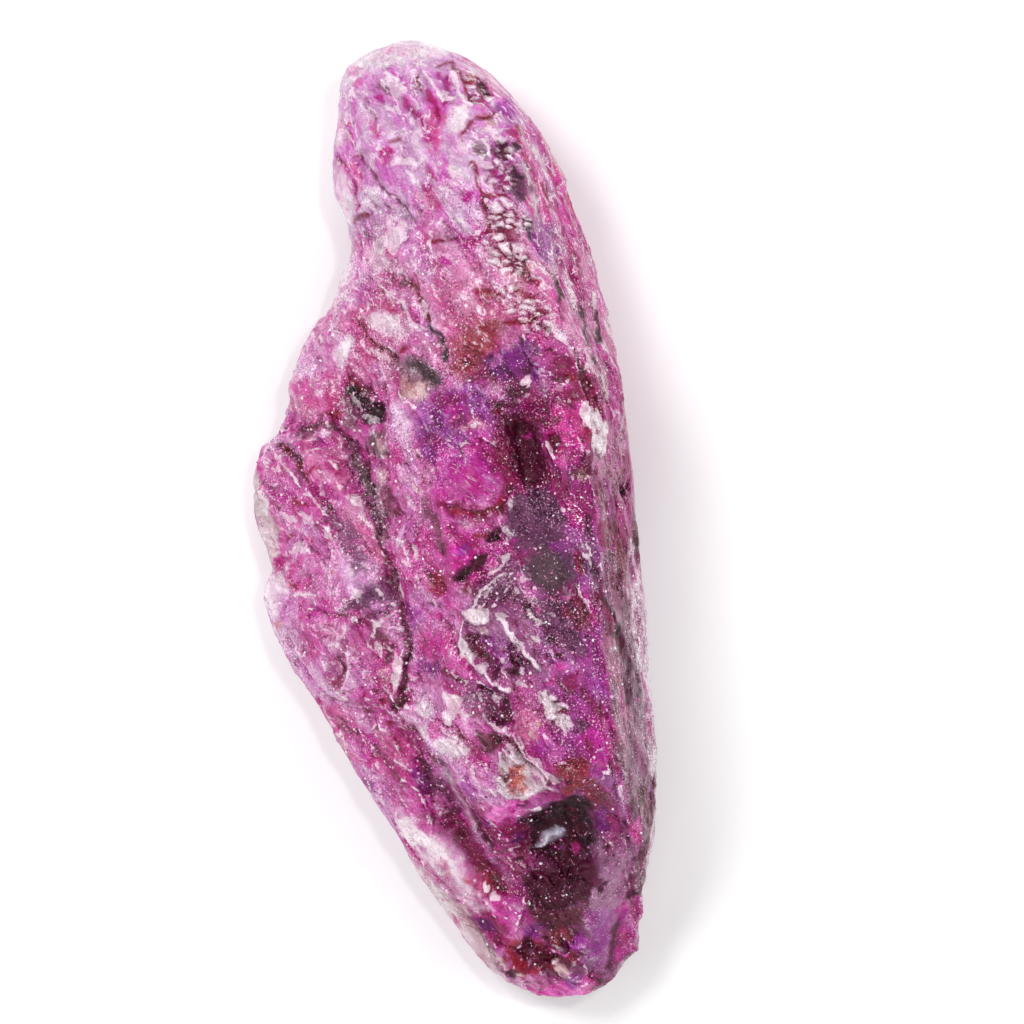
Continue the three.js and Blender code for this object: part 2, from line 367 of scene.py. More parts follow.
on_left = np.clip((-2 - x) / 3, 0, 1)
right_middle = np.clip((x - 2) / 3, 0, 1) * np.clip((9 - y) / 3, 0, 1) * np.clip((y + 18) / 4, 0, 1)
wash("magenta", (0.25 + 1.2 * broad) * (1 - 0.6 * on_left))
wash("lilac", (-0.10 - 1.4 * broad) + 0.15 * on_left)
wash("rose", (y - 6) / 7 + 0.6 * broad)
wash("lilac", (y - 12) / 5 + 0.6 * broad)
wash("orchid", 0.6 * right_middle)
wash("wine", (0.40 + 1.0 * broad) * right_middle)
wash("violet", (0.12 - 1.0 * broad) * right_middle)
wash("plum", np.clip((-y - 15) / 4, 0, 1) * np.clip((x + 0.5) / 2, 0, 1) * 0.8)
below = np.clip(-outward[:, 2] * 2, 0, 1)
wash("dust", np.maximum(flank, below) * (0.65 + 0.5 * broad))
wash("lilac", flank * np.clip((y - 4) / 8, 0, 0.6))
wash("pink", flank * np.clip((y - 4) / 8, 0, 0.6) * (0.5 + 2.0 * drawn(0.8, 3.0, 37.0)))
streak = drawn(0.5, 5.0, 31.0)
wash("brown", flank * np.clip((9 - y) / 4, 0, 1) * (0.7 + 1.5 * streak))
wash("olive", 1.0 * flank * np.clip((1 - y) / 4, 0, 1) * (2.0 * drawn(0.9, 3.0, 35.0) - 0.1))
wash("wine", flank * (drawn(0.7, 3.0, 41.0) * 3.0 - 0.5))
wash("pink", 0.5 * flank * np.clip((y + 2) / 6, 0, 1))
high = np.clip((y - 2) / 6, 0, 1)
wash("magenta", flank * (1 - high) * np.clip((y + 8) / 3, 0, 1) * (0.5 + 1.6 * drawn(0.8, 3.0, 39.0)))
wash("pink", 0.6 * flank * high)
wash("pearl_sheen", flank * high * 1.4 * drawn(0.8, 2.6, 43.0))
# Painted reflection: the steep rim of the lower flank turns pale where the bright room reflects off it at a
# grazing angle.
rim_sheen_mottle = np.clip(0.75 + 1.8 * drawn(1.3, 2.2, 49.0) + 0.9 * drawn(0.5, 2.2, 57.0), 0.35, 1)
wash("pearl_sheen", rim_sheen_mottle * flank * np.clip(0.3 - y / 5, 0, 1) * np.clip((0.20 - outward[:, 2]) / 0.08, 0, 0.85))

# The head: its cap, left rim and the strokes down its middle.
area("pearl_sheen", 0.75, [(-1.9, 24.1), (-0.4, 24.7), (1.0, 24.4), (2.0, 24.7), (4.2, 24.5), (4.6, 26.5),
     (-2.4, 26.5)])
area("pearl_sheen", 0.65, [(-2.8, 20.5), (-2.3, 19.6), (-1.9, 18.5), (-1.7, 17.5), (-2.5, 17.0), (-3.4, 18.2),
     (-3.3, 19.5)], [(-2.6, 22.4), (-1.9, 23.2), (-1.4, 22.4), (-2.2, 21.2), (-2.8, 21.2)], [(0.6, 23.6),
     (1.4, 24.0), (1.9, 22.8), (1.2, 22.4)], [(-1.5, 18.6), (-0.7, 18.6), (-0.6, 17.6), (-1.4, 17.7)],
     [(3.8, 21.8), (3.6, 20.8), (4.0, 20.1), (4.8, 20.6), (4.7, 21.8)], [(3.0, 18.9), (3.1, 17.9),
     (4.1, 17.8), (4.4, 18.6)], [(5.0, 23.6), (5.9, 23.9), (5.2, 22.8)])
area("rose", 0.6, [(2.2, 21.2), (2.5, 19.6), (3.4, 19.6), (3.6, 20.9), (3.2, 22.4)], [(1.0, 18.0),
     (2.6, 17.4), (3.6, 16.6), (2.0, 16.6)], [(-1.9, 20.0), (-1.2, 19.4), (-1.4, 18.4), (-1.8, 18.6)])
smear("pink", 0.3, 0.7, [(1.4, 25.7), (1.5, 25.2)], [(-1.2, 24.9), (-0.3, 24.9)], [(-0.6, 24.3)],
      [(2.6, 20.6), (2.8, 19.7)], [(0.0, 20.4), (0.4, 19.7)], [(1.9, 18.0), (2.5, 17.4)], [(-0.5, 22.0),
      (0.0, 21.2)])
smear("magenta", 0.17, 0.85, [(1.6, 22.7), (2.2, 21.7), (2.6, 20.8), (2.7, 20.0)], [(2.8, 23.0),
      (3.1, 22.0), (3.2, 21.0)], [(3.7, 23.7), (3.8, 22.9), (3.6, 21.9)], [(3.95, 23.4), (3.9, 22.6)],
      [(2.3, 19.2), (2.5, 18.2)], [(0.1, 23.2), (0.6, 22.9)], [(-1.9, 22.3), (-1.3, 22.1)], [(-1.7, 21.7),
      (-1.4, 20.9)], [(1.8, 18.1), (2.3, 17.6)], [(0.3, 20.0)], [(-1.8, 20.4), (-1.3, 20.3)])
smear("magenta", 0.1, 0.8, [(-2.6, 20.6), (-2.3, 19.8), (-1.95, 18.6), (-1.75, 17.4)], [(-1.5, 20.5),
      (-1.0, 19.7)])
smear("crimson", 0.12, 0.9, [(0.55, 20.5), (1.2, 20.65)], [(2.5, 23.8), (2.6, 23.0)], [(-2.0, 17.0),
      (-1.4, 17.3)])
smear("wine", 0.09, 0.8, [(-1.3, 20.4), (-0.7, 19.4), (-0.1, 18.2), (0.5, 17.5), (0.9, 16.9), (1.1, 16.3)],
      [(-0.4, 22.9), (-0.1, 22.1)], [(0.3, 23.9), (0.9, 23.3)])
smear("painted_highlight", 0.07, 0.9, [(3.05, 24.0), (3.15, 23.2), (3.5, 22.1)], [(2.1, 22.9), (2.5, 21.8)],
      [(0.5, 22.7), (1.0, 22.0)], [(1.0, 22.4), (1.5, 21.6)], [(-1.9, 21.9), (-1.4, 21.1)], [(-0.9, 21.4),
      (-1.1, 20.8)], [(0.8, 21.2), (1.4, 21.0)], [(0.1, 21.9), (0.0, 21.3)])
smear("painted_highlight", 0.16, 0.9, [(4.3, 23.6), (4.4, 22.9), (4.7, 22.0), (4.9, 21.6)], [(5.0, 21.7), (5.9, 21.4)],
      [(0.9, 24.1), (1.5, 23.7), (1.9, 23.0)], [(4.1, 19.8), (4.5, 19.2)], [(1.0, 18.9), (1.5, 18.2)])
area("painted_highlight", 0.7, [(0.5, 19.6), (1.5, 19.9), (2.1, 19.5), (1.7, 18.9), (0.8, 19.1)], [(3.1, 18.8),
     (3.3, 18.0), (3.8, 18.1), (4.1, 18.5), (3.6, 18.8)], [(4.0, 21.9), (3.9, 20.9), (4.5, 20.7),
     (4.6, 21.5)])
area("painted_highlight", 0.6, [(-0.9, 17.2), (-0.2, 17.0), (0.2, 16.3), (0.9, 16.1), (0.9, 15.4), (0.3, 14.8),
     (-0.5, 14.6), (-0.9, 15.0), (-1.1, 15.8), (-0.7, 16.4)], soft=0.5)
smear("brown", 0.1, 0.7, [(-1.1, 15.8), (-1.0, 14.9)], [(-1.6, 16.2), (-1.2, 15.7)], [(0.1, 15.0),
      (0.7, 15.3)])

# The broken shelf on the head's right.
smear("sand", 0.6, 0.5, [(5.3, 14.8), (5.8, 13.0), (6.0, 11.6)])
smear("sand", 0.4, 0.7, [(5.3, 23.2)], [(5.6, 20.4), (6.0, 20.6)], [(6.0, 12.4), (6.8, 12.4)])
area("orchid", 0.75, [(6.2, 21.9), (7.2, 21.9), (7.9, 20.6), (7.6, 20.0), (6.6, 20.7)], [(7.3, 15.4),
     (8.3, 14.6), (8.4, 13.2), (7.8, 12.4), (7.2, 13.0)])
area("dust", 0.7, [(5.0, 18.4), (6.0, 18.3), (7.4, 18.4), (7.6, 17.0), (6.4, 16.6), (5.4, 17.0)])
smear("slate", 0.5, 0.85, [(6.3, 19.0)], [(6.6, 17.6), (7.2, 16.4)])
smear("olive", 0.28, 0.8, [(5.5, 22.4), (5.9, 22.9)], [(4.9, 19.4), (5.2, 18.8)], [(7.0, 15.1),
      (7.1, 14.0)])
smear("mica", 0.17, 0.9, [(5.8, 23.1), (5.95, 22.6), (6.1, 22.3)], [(7.0, 14.6), (7.1, 14.1)],
      [(6.6, 13.1)])
# Painted shade, near black, in the shelf's small hollows.
smear("shade_black", 0.15, 0.85, [(6.9, 19.3), (7.4, 19.0)], [(6.7, 18.0), (7.3, 17.4)])
smear("crimson", 0.12, 0.95, [(3.7, 24.0), (4.6, 24.3)], [(4.6, 24.2), (4.6, 23.4), (4.9, 22.6),
      (5.1, 21.8)], [(5.2, 20.8), (5.8, 20.9), (6.1, 21.2)], [(4.3, 20.1), (4.6, 20.3), (5.1, 20.7)],
      [(4.5, 18.7), (4.7, 18.2), (4.7, 17.4), (4.9, 16.9), (4.8, 16.0), (4.8, 15.0), (4.9, 14.7)],
      [(4.7, 22.9), (5.3, 22.9)])
smear("crimson", 0.14, 0.85, [(5.0, 16.9), (5.8, 16.6), (6.2, 16.2)], [(5.2, 15.7), (6.1, 15.4)],
      [(4.9, 14.8), (5.8, 14.8), (6.3, 15.0)], [(1.6, 15.2), (2.4, 15.0), (3.0, 14.9)], [(6.4, 21.0)],
      [(7.2, 20.4), (7.4, 19.7)])
smear("magenta", 0.25, 0.8, [(3.0, 15.0), (3.8, 14.6), (4.6, 14.9)], [(6.6, 20.0), (7.2, 19.9)],
      [(4.3, 17.0), (3.6, 16.6)], [(5.4, 17.8), (6.2, 17.2)])
smear("painted_highlight", 0.06, 0.95, [(4.7, 18.1), (4.8, 17.4), (5.1, 16.9)], [(5.3, 19.0), (5.4, 19.5), (6.0, 19.8),
      (6.6, 19.5)], [(6.2, 20.1), (6.9, 20.3)])
smear("painted_highlight", 0.14, 0.85, [(5.0, 16.2), (5.6, 16.1), (6.1, 15.9)], [(4.9, 15.1), (5.5, 15.25)],
      [(3.0, 15.9), (3.6, 15.6)], [(4.0, 16.0), (4.5, 15.3)], [(5.3, 20.3), (5.8, 20.1)], [(2.6, 16.4),
      (3.0, 16.1)])

# The neck, its two long creases and the mica below them.
area("pearl_sheen", 0.75, [(-3.4, 15.2), (-1.0, 15.6), (-0.6, 14.0), (-2.6, 13.4)], soft=0.5)
area("lilac", 0.6, [(-4.2, 14.2), (-2.2, 15.4), (-1.6, 14.2), (-1.8, 12.6), (-3.6, 12.0)], [(-6.8, 10.2),
     (-5.6, 11.6), (-3.6, 12.0), (-3.4, 10.0), (-4.6, 8.6), (-6.6, 9.0)], [(-2.6, 9.4), (-1.8, 9.0),
     (-1.9, 7.6), (-2.8, 8.0)], [(0.4, 15.0), (2.0, 14.6), (1.6, 13.0), (0.9, 12.6), (0.4, 13.6)])
area("pearl_sheen", 0.65, [(-4.4, 12.4), (-3.6, 14.4), (-3.0, 14.6), (-3.2, 12.8)], [(-7.3, 8.2), (-6.4, 10.4),
     (-5.2, 12.0), (-6.6, 11.2), (-7.8, 8.6)], [(-4.6, 10.2), (-3.6, 11.0), (-3.3, 10.0), (-4.2, 9.4)],
     [(-2.3, 11.7), (-1.4, 12.0), (-0.7, 11.2), (-0.2, 10.4), (-0.9, 10.2), (-1.5, 10.6), (-2.2, 11.2)])
area("painted_highlight", 0.4, [(-2.2, 11.6), (-1.4, 11.9), (-0.7, 11.1), (-0.4, 10.5), (-1.5, 10.7)], [(-4.3, 9.9),
     (-3.8, 10.6), (-3.6, 9.8)], [(-2.6, 10.6), (-2.0, 9.9), (-1.6, 9.3), (-2.4, 9.9)])
smear("magenta", 0.22, 0.75, [(-4.9, 11.2), (-4.1, 11.4)], [(-3.2, 12.2)], [(-2.7, 13.1)], [(-6.2, 9.2),
      (-6.4, 8.2)], [(-5.7, 8.8), (-5.9, 7.7)], [(2.2, 14.0), (2.8, 13.6)], [(0.8, 13.1), (1.1, 13.0)],
      [(2.4, 13.0)], [(3.8, 12.0), (4.6, 11.6)], [(-4.5, 12.2)])
smear("crimson", 0.09, 0.95, [(0.1, 13.4), (0.3, 12.7), (0.6, 12.2), (0.9, 11.0), (1.0, 10.7)],
      [(-2.8, 11.4), (-2.2, 10.5), (-1.7, 9.7), (-1.4, 9.2)], [(-5.1, 11.0), (-5.0, 10.6)])
smear("crimson", 0.13, 0.9, [(-0.75, 9.9), (-1.1, 9.3)], [(-3.9, 9.0), (-3.4, 8.3), (-3.1, 7.8)])
smear("mica", 0.1, 0.8, [(-0.5, 11.9), (-0.2, 11.4)], [(-0.1, 13.3), (0.1, 13.0)])
smear("painted_highlight", 0.09, 0.95, [(-1.5, 13.4), (-1.0, 12.9), (-0.5, 12.2), (0.0, 11.2), (0.4, 10.6),
      (1.0, 10.4)], [(-2.4, 10.3), (-1.8, 9.4), (-1.2, 8.7)], [(-1.3, 7.6), (-1.0, 6.9), (-0.5, 6.3)],
      [(0.7, 12.0), (0.8, 11.0)])
area("rust", 0.85, [(1.9, 9.6), (2.9, 10.2), (4.2, 10.4), (5.2, 10.2), (4.9, 9.4), (3.9, 8.6), (2.9, 7.6),
     (2.0, 7.2), (1.6, 8.2)], soft=0.7)
area("rust", 0.45, [(2.6, 10.2), (4.8, 10.4), (4.6, 12.0), (3.0, 12.0)], [(-0.6, 10.2), (1.0, 10.0),
     (1.4, 8.8), (0.4, 9.2)], soft=0.9)
area("dust", 0.5, [(-1.4, 9.2), (0.4, 9.4), (1.6, 8.0), (0.8, 6.6), (-1.2, 7.0)], soft=0.5)
area("olive", 0.7, [(-1.2, 9.0), (-0.3, 9.2), (0.4, 8.7), (1.1, 8.1), (1.2, 7.4), (0.6, 6.9), (-0.2, 6.6),
     (-1.0, 7.4)])
area("sand", 0.85, [(-1.2, 8.2), (0.1, 7.9), (0.6, 7.1), (-0.1, 6.7), (-0.9, 7.2)])
area("mica", 0.65, [(-0.9, 8.9), (-0.3, 9.0), (0.3, 8.6), (0.9, 8.2), (1.1, 7.5), (0.6, 7.5), (0.1, 7.9),
     (-0.6, 8.5)])
smear("mica", 0.17, 0.85, [(0.95, 10.6), (1.3, 10.2), (1.5, 9.4), (1.5, 8.7)])
smear("painted_highlight", 0.3, 0.42, [(-0.7, 8.6), (0.0, 8.3), (0.8, 7.8)], [(-0.6, 7.6), (0.2, 7.0)], [(1.3, 9.8),
      (1.5, 9.0)])
smear("crimson", 0.22, 0.8, [(5.0, 10.0), (6.2, 9.8), (6.9, 10.3)], [(3.9, 12.0), (5.0, 11.3)],
      [(5.2, 11.6), (6.6, 11.0)], [(6.9, 11.8)])
smear("painted_highlight", 0.16, 0.7, [(5.6, 10.6), (6.2, 10.6)], [(5.0, 10.7)], [(5.6, 9.4), (6.2, 9.3)], [(3.8, 12.4),
      (4.2, 12.3)], [(3.4, 13.6)], [(7.2, 9.6), (6.8, 8.9)])

# The lobes on the left and the main cleft.
area("bone", 1.0, [(-9.9, 5.8), (-9.6, 5.0), (-9.6, 3.6), (-9.3, 1.8), (-9.1, 0.4), (-9.6, -0.6),
     (-10.6, 0.6), (-11.0, 3.0), (-10.6, 5.4)], [(-7.9, 7.4), (-6.9, 8.6), (-7.6, 8.8), (-8.6, 7.2)],
     soft=0.2)
area("rose", 0.7, [(-6.9, 6.2), (-5.4, 6.2), (-4.6, 5.4), (-4.5, 4.0), (-5.2, 2.6), (-6.2, 3.0),
     (-6.8, 4.2)], [(-5.0, 2.8), (-4.6, 2.6), (-4.0, 1.2), (-3.3, -0.4), (-3.3, -1.6), (-4.0, -1.0),
     (-4.8, 0.6), (-5.2, 1.6)], [(-7.0, 9.4), (-4.6, 9.4), (-4.2, 7.4), (-5.4, 7.0), (-7.4, 7.4)])
smear("pink", 0.4, 0.7, [(-6.8, 8.8), (-5.2, 8.0)], [(-5.0, 9.2)])
area("lilac", 0.6, [(-8.8, 1.4), (-7.2, 1.8), (-6.6, 0.4), (-7.4, -0.6), (-8.8, 0.0)])
smear("magenta", 0.5, 0.7, [(-9.0, 4.0), (-8.9, 2.6)], [(-8.4, 3.2)], [(-6.4, 5.6), (-5.4, 5.3)],
      [(-8.2, 6.8), (-7.2, 7.1)], [(-6.6, 0.8)], [(-6.4, 3.4), (-6.0, 2.6)])
smear("pink", 0.4, 0.7, [(-9.2, 5.0)], [(-5.6, 4.4)], [(-7.6, 0.6)], [(-7.8, -0.6), (-8.6, -1.0)])
smear("crimson", 0.16, 0.8, [(-8.8, 2.6)], [(-8.0, 2.8), (-7.6, 2.4)], [(-7.0, 1.2)], [(-6.2, 0.4)],
      [(-7.0, 4.0), (-6.4, 4.4)], [(-5.4, 7.0), (-4.4, 6.9)], [(-8.7, 1.0), (-8.4, 0.8)])
smear("painted_highlight", 0.26, 0.65, [(-8.7, 2.2), (-8.1, 1.6)], [(-7.9, 2.2), (-7.3, 1.4)], [(-8.5, 0.2),
      (-7.6, -0.2)], [(-8.4, 4.6)], [(-6.6, 1.0), (-6.2, 0.2)], [(-5.4, 8.2)])
smear("brown", 0.24, 0.75, [(-8.0, 6.0), (-7.4, 5.0), (-7.1, 4.2), (-6.9, 3.8)])
smear("crimson", 0.16, 0.7, [(-7.9, 5.8), (-7.6, 5.2)], [(-7.3, 4.6)])
smear("painted_highlight", 0.07, 1.0, [(-8.4, 5.5), (-8.1, 5.0), (-7.8, 4.2), (-7.4, 3.6)], [(-7.4, 3.2), (-6.9, 2.6),
      (-6.3, 1.8), (-5.9, 1.2), (-5.5, 0.2)], [(-5.9, 4.6), (-5.0, 4.2)], [(-6.4, 5.3), (-6.0, 5.2)])
smear("brown", 0.22, 0.6, [(-7.0, 6.4), (-6.4, 6.4), (-5.6, 6.55), (-4.9, 6.2), (-4.4, 5.6), (-4.1, 5.0)])
smear("lilac", 0.2, 0.9, [(-5.55, 5.95)])
area("dust", 0.3, [(-3.4, 5.8), (-2.4, 5.8), (-2.2, 1.0), (-2.6, -3.0), (-3.3, -3.0), (-3.4, 1.0)],
     soft=0.5)
area("dust", 0.5, [(-4.4, 5.2), (-3.9, 5.4), (-3.6, 4.4), (-3.3, 3.0), (-3.1, 1.0), (-3.2, -0.6),
     (-3.6, 0.0), (-4.2, 1.2), (-4.6, 2.6), (-4.9, 3.8)])
area("olive", 0.9, [(-4.3, 4.6), (-3.8, 4.8), (-3.5, 2.6), (-4.2, 2.2)], [(-3.0, 5.9), (-2.4, 6.0),
     (-2.7, 4.4), (-3.3, 4.6)])
area("olive", 0.65, [(-4.0, 2.9), (-2.8, 2.9), (-2.9, 1.2), (-3.0, -0.4), (-3.2, -1.6), (-3.5, -0.8),
     (-3.8, 0.8)])
area("mica", 0.9, [(-3.9, 8.4), (-3.2, 7.9), (-2.5, 7.2), (-2.4, 6.5), (-2.9, 6.0), (-3.7, 6.1),
     (-3.5, 7.0), (-3.9, 7.6)], soft=0.25)
area("olive", 0.7, [(-4.4, 7.6), (-3.9, 7.8), (-3.7, 6.0), (-4.4, 6.2)])
smear("painted_highlight", 0.12, 0.95, [(-3.75, 7.7), (-3.4, 7.1)], [(-3.85, 8.4), (-3.7, 8.0)])
smear("painted_highlight", 0.3, 0.5, [(-3.4, 6.8), (-3.0, 6.2)], [(-3.2, 7.6)])
smear("painted_highlight", 0.3, 0.4, [(-4.2, 3.8), (-3.8, 2.6), (-3.5, 1.4)], [(-2.9, 5.4), (-2.8, 4.6)])
smear("sand", 0.12, 0.7, [(-2.7, 5.3), (-2.8, 4.6)], [(-2.9, 3.6), (-2.9, 2.8)])
area("slate", 0.6, [(-6.6, 2.4), (-5.8, 2.0), (-5.2, 1.4), (-4.8, 0.2), (-4.6, -1.4), (-5.4, -1.6),
     (-5.8, -0.2), (-6.4, 1.2)])
smear("painted_highlight", 0.3, 0.45, [(-6.0, 0.6), (-5.6, -0.6), (-5.3, -1.6)], [(-6.6, -0.4), (-6.5, -1.6)])
area("slate", 0.75, [(-5.3, -2.2), (-4.0, -2.0), (-3.2, -2.0), (-3.2, -3.8), (-4.4, -3.4), (-5.6, -3.6),
     (-6.6, -3.6), (-6.0, -2.9)])
area("brown", 0.5, [(-3.9, -1.4), (-3.2, -0.8), (-3.1, -3.6), (-3.8, -3.0)], [(-5.6, -3.8), (-4.6, -3.4),
     (-4.2, -5.0), (-5.2, -6.4)])
smear("painted_highlight", 0.07, 0.95, [(-4.7, 2.6), (-4.2, 1.2), (-3.6, -0.1), (-3.3, -1.1)], [(-5.1, -2.4),
      (-5.9, -3.1), (-6.6, -3.5)], [(-4.0, 3.4), (-3.9, 2.8)], [(-3.05, -2.6), (-3.0, -3.6), (-2.9, -4.0)])
smear("crimson", 0.1, 0.6, [(-3.4, -0.4), (-3.4, -1.2)])
area("lilac", 0.65, [(-10.6, -1.4), (-9.0, -0.8), (-8.6, -2.4), (-8.8, -5.6), (-9.8, -4.6), (-10.9, -3.0)],
     [(-8.8, -5.6), (-7.6, -5.4), (-7.4, -7.6), (-8.4, -8.6), (-9.4, -6.8)], [(-6.6, -6.6), (-5.6, -6.4),
     (-5.4, -7.8), (-6.8, -7.9)])
area("pearl_sheen", 0.6, [(-9.2, -0.6), (-8.6, -0.4), (-9.6, -2.6), (-10.2, -4.4), (-9.4, -7.0), (-8.8, -8.6),
     (-9.6, -8.0), (-11.2, -3.4), (-10.6, -0.8)], soft=0.2)
smear("rose", 0.4, 0.6, [(-9.0, -1.6)], [(-6.0, -5.2)], [(-7.2, -4.4)])
smear("magenta", 0.35, 0.6, [(-8.0, -3.4), (-7.0, -2.9)], [(-8.6, -4.4)], [(-6.2, -4.6), (-5.8, -5.0)])
smear("painted_highlight", 0.11, 1.0, [(-8.9, -2.1), (-8.2, -2.3), (-7.5, -2.5)], [(-6.5, -4.4), (-6.9, -4.9)])
smear("crimson", 0.15, 0.8, [(-8.8, -1.5), (-8.5, -1.9)], [(-7.3, -7.2), (-7.1, -6.8)])
smear("ochre", 0.17, 0.9, [(-9.75, -3.6)], [(-6.5, -1.5)])
smear("plum", 0.15, 0.8, [(-6.85, -5.8), (-7.0, -6.8)])
smear("wine", 0.45, 0.5, [(-6.8, -5.4), (-7.2, -7.2)])
smear("painted_highlight", 0.07, 1.0, [(-6.5, -5.5), (-6.45, -6.2), (-6.7, -6.9), (-7.0, -7.6)])
smear("painted_highlight", 0.13, 0.9, [(-3.5, -4.0), (-4.2, -4.3), (-4.7, -4.6), (-5.0, -5.3)], [(-4.9, -5.5),
      (-4.7, -6.2)], [(-3.8, -3.4), (-3.6, -3.7)], [(-4.6, -8.2), (-4.6, -8.6)])
area("painted_highlight", 0.8, [(-4.0, -6.0), (-3.5, -6.4), (-3.5, -7.2), (-4.0, -8.0), (-4.4, -8.2), (-4.2, -7.2)])
area("sand", 0.5, [(-4.8, -6.6), (-4.2, -6.8), (-4.4, -8.0), (-5.0, -7.6)])
smear("brown", 0.22, 0.75, [(-3.2, -3.6), (-3.3, -4.6), (-3.25, -6.0), (-3.5, -7.6), (-4.2, -8.8),
      (-4.5, -9.2)], [(-4.7, -4.9), (-4.3, -5.6), (-4.4, -6.6)])
smear("crimson", 0.15, 0.8, [(-5.2, -8.4), (-4.7, -8.7)], [(-5.9, -8.3)])

# The strip between the cleft and the boss.
area("lilac", 0.75, [(-2.0, 6.8), (-1.2, 6.2), (-0.8, 4.4), (-0.8, 2.8), (-1.6, 2.8), (-1.9, 4.6)],
     [(-2.4, 2.0), (-1.7, 1.8), (-1.6, -1.4), (-2.2, -1.6), (-2.5, 0.0)])
area("pearl_sheen", 0.4, [(-1.6, 6.0), (-1.1, 5.6), (-1.0, 4.2), (-1.5, 4.4)])
smear("sand", 0.14, 0.8, [(-1.4, 2.6), (-0.9, 1.9)])
smear("brown", 0.32, 0.65, [(-1.0, 1.6), (-0.5, 0.4), (-0.3, -1.4)], [(-2.7, 2.6), (-2.7, 1.0)])
smear("pink", 0.4, 0.75, [(-2.2, -0.6), (-2.0, -1.4)], [(-1.4, 0.2), (-1.2, -0.8)], [(-2.4, 4.6),
      (-2.3, 2.6)])
smear("painted_highlight", 0.07, 0.95, [(-1.9, -0.6), (-1.85, -1.4)], [(-1.75, -2.2), (-1.8, -2.9)], [(-0.7, 6.4),
      (-0.4, 6.2)])
area("crimson", 0.8, [(-1.5, -2.2), (-0.7, -2.1), (-0.3, -2.6), (-0.6, -3.4), (-1.3, -3.5)])
area("magenta", 0.5, [(-2.6, -5.6), (-0.3, -5.2), (-0.4, -6.8), (-0.8, -7.8), (-2.4, -7.4)], soft=0.7)
area("lilac", 0.8, [(-2.6, -2.8), (-1.6, -3.2), (-0.6, -4.0), (-0.7, -5.0), (-2.4, -5.0)], soft=0.7)
smear("orchid", 0.4, 0.7, [(-2.3, -6.6), (-2.3, -7.6)], [(-2.6, -3.8), (-2.5, -5.0)])
smear("pink", 0.35, 0.7, [(-1.4, -4.4)], [(-1.0, -6.0)])
smear("wine", 0.3, 0.75, [(-1.6, -7.6), (-0.6, -7.9)], [(-0.6, -8.2)])
smear("painted_highlight", 0.09, 1.0, [(-0.95, -3.75), (-0.75, -3.95)])
area("pearl_sheen", 0.5, [(-2.6, -8.6), (-2.4, -10.4), (-3.2, -11.2), (-4.3, -9.8), (-3.4, -8.8)], soft=0.5)
area("lilac", 0.6, [(-2.6, -7.6), (-2.2, -8.6), (-2.3, -10.0), (-2.4, -11.4), (-3.0, -11.6), (-3.8, -10.6),
     (-4.5, -9.7), (-3.9, -9.0), (-3.1, -8.2)])
smear("pearl_sheen", 0.4, 0.7, [(-3.4, -9.2), (-2.9, -9.6)], [(-3.2, -10.6)])
smear("pink", 0.25, 0.7, [(-2.6, -10.1), (-2.5, -11.0)])

# The boss, the pit, the swell and the smoky flat.
area("violet", 0.9, [(3.2, 8.2), (4.6, 8.6), (5.6, 9.0), (6.2, 8.4), (6.2, 7.2), (5.6, 6.4), (4.6, 6.8),
     (3.4, 7.2)], [(-0.4, 5.6), (0.8, 5.8), (1.0, 4.6), (0.2, 3.4), (-0.5, 3.8)], [(1.2, 7.2), (2.6, 7.2),
     (2.6, 6.2), (1.0, 6.2)], soft=0.6)
smear("plum", 0.4, 0.7, [(5.3, 7.8), (5.2, 7.0)], [(4.4, 6.4), (4.2, 5.8)])
# The lilac stroke at (3.9, 7.8) is a painted highlight on the violet patch.
smear("lilac", 0.35, 0.7, [(3.9, 7.8), (4.4, 8.1)], [(6.2, 6.2)], [(0.4, 5.2)])
smear("wine", 0.4, 0.7, [(2.4, 5.8), (3.6, 5.8)], [(2.4, 7.6), (3.6, 7.0)], [(3.4, 4.2), (3.4, 2.4)])
smear("dust", 0.5, 0.7, [(6.0, 6.8), (6.3, 5.8)], [(5.9, 4.4), (6.6, 4.4)])
area("wine", 0.75, [(6.7, 7.8), (7.6, 7.8), (8.6, 6.4), (8.9, 5.2), (8.2, 4.8), (7.4, 5.6), (6.8, 6.6)],
     soft=0.5)
smear("crimson", 0.2, 0.8, [(7.3, 7.0), (7.9, 6.4)], [(8.2, 5.8), (8.5, 5.2)], [(3.3, 5.6), (3.9, 5.4)])
smear("magenta", 0.3, 0.7, [(7.2, 6.2)], [(7.9, 7.2)], [(0.0, 2.4), (0.3, 1.4)])
area("orchid", 0.75, [(-0.6, 6.8), (1.4, 7.4), (3.2, 7.2), (3.4, 4.8), (1.8, 4.0), (0.0, 3.8), (-0.7, 4.8)],
     soft=0.8)
area("violet", 0.45, [(-0.6, 6.4), (3.0, 6.8), (3.2, 4.8), (0.0, 4.0)], soft=0.8)
smear("wine", 0.5, 0.6, [(0.6, 6.6), (2.2, 6.4)], [(1.4, 5.4), (2.8, 5.0)], [(0.0, 4.6)])
smear("magenta", 0.4, 0.5, [(1.0, 6.0), (2.0, 5.8)], [(2.6, 4.4)], [(0.6, 4.4)])
area("orchid", 0.8, [(0.4, 3.6), (1.4, 3.8), (2.4, 3.2), (2.6, 2.0), (1.8, 1.2), (0.8, 1.4), (0.2, 2.4)],
     soft=0.8)
area("magenta", 0.85, [(0.4, 3.4), (2.2, 3.4), (2.6, 1.6), (1.4, 1.0), (0.4, 1.6)], soft=0.8)
smear("wine", 0.3, 0.8, [(-0.1, 1.4), (0.6, 0.7), (1.6, 0.3), (2.8, 0.4), (3.4, 1.2), (3.5, 2.4)])
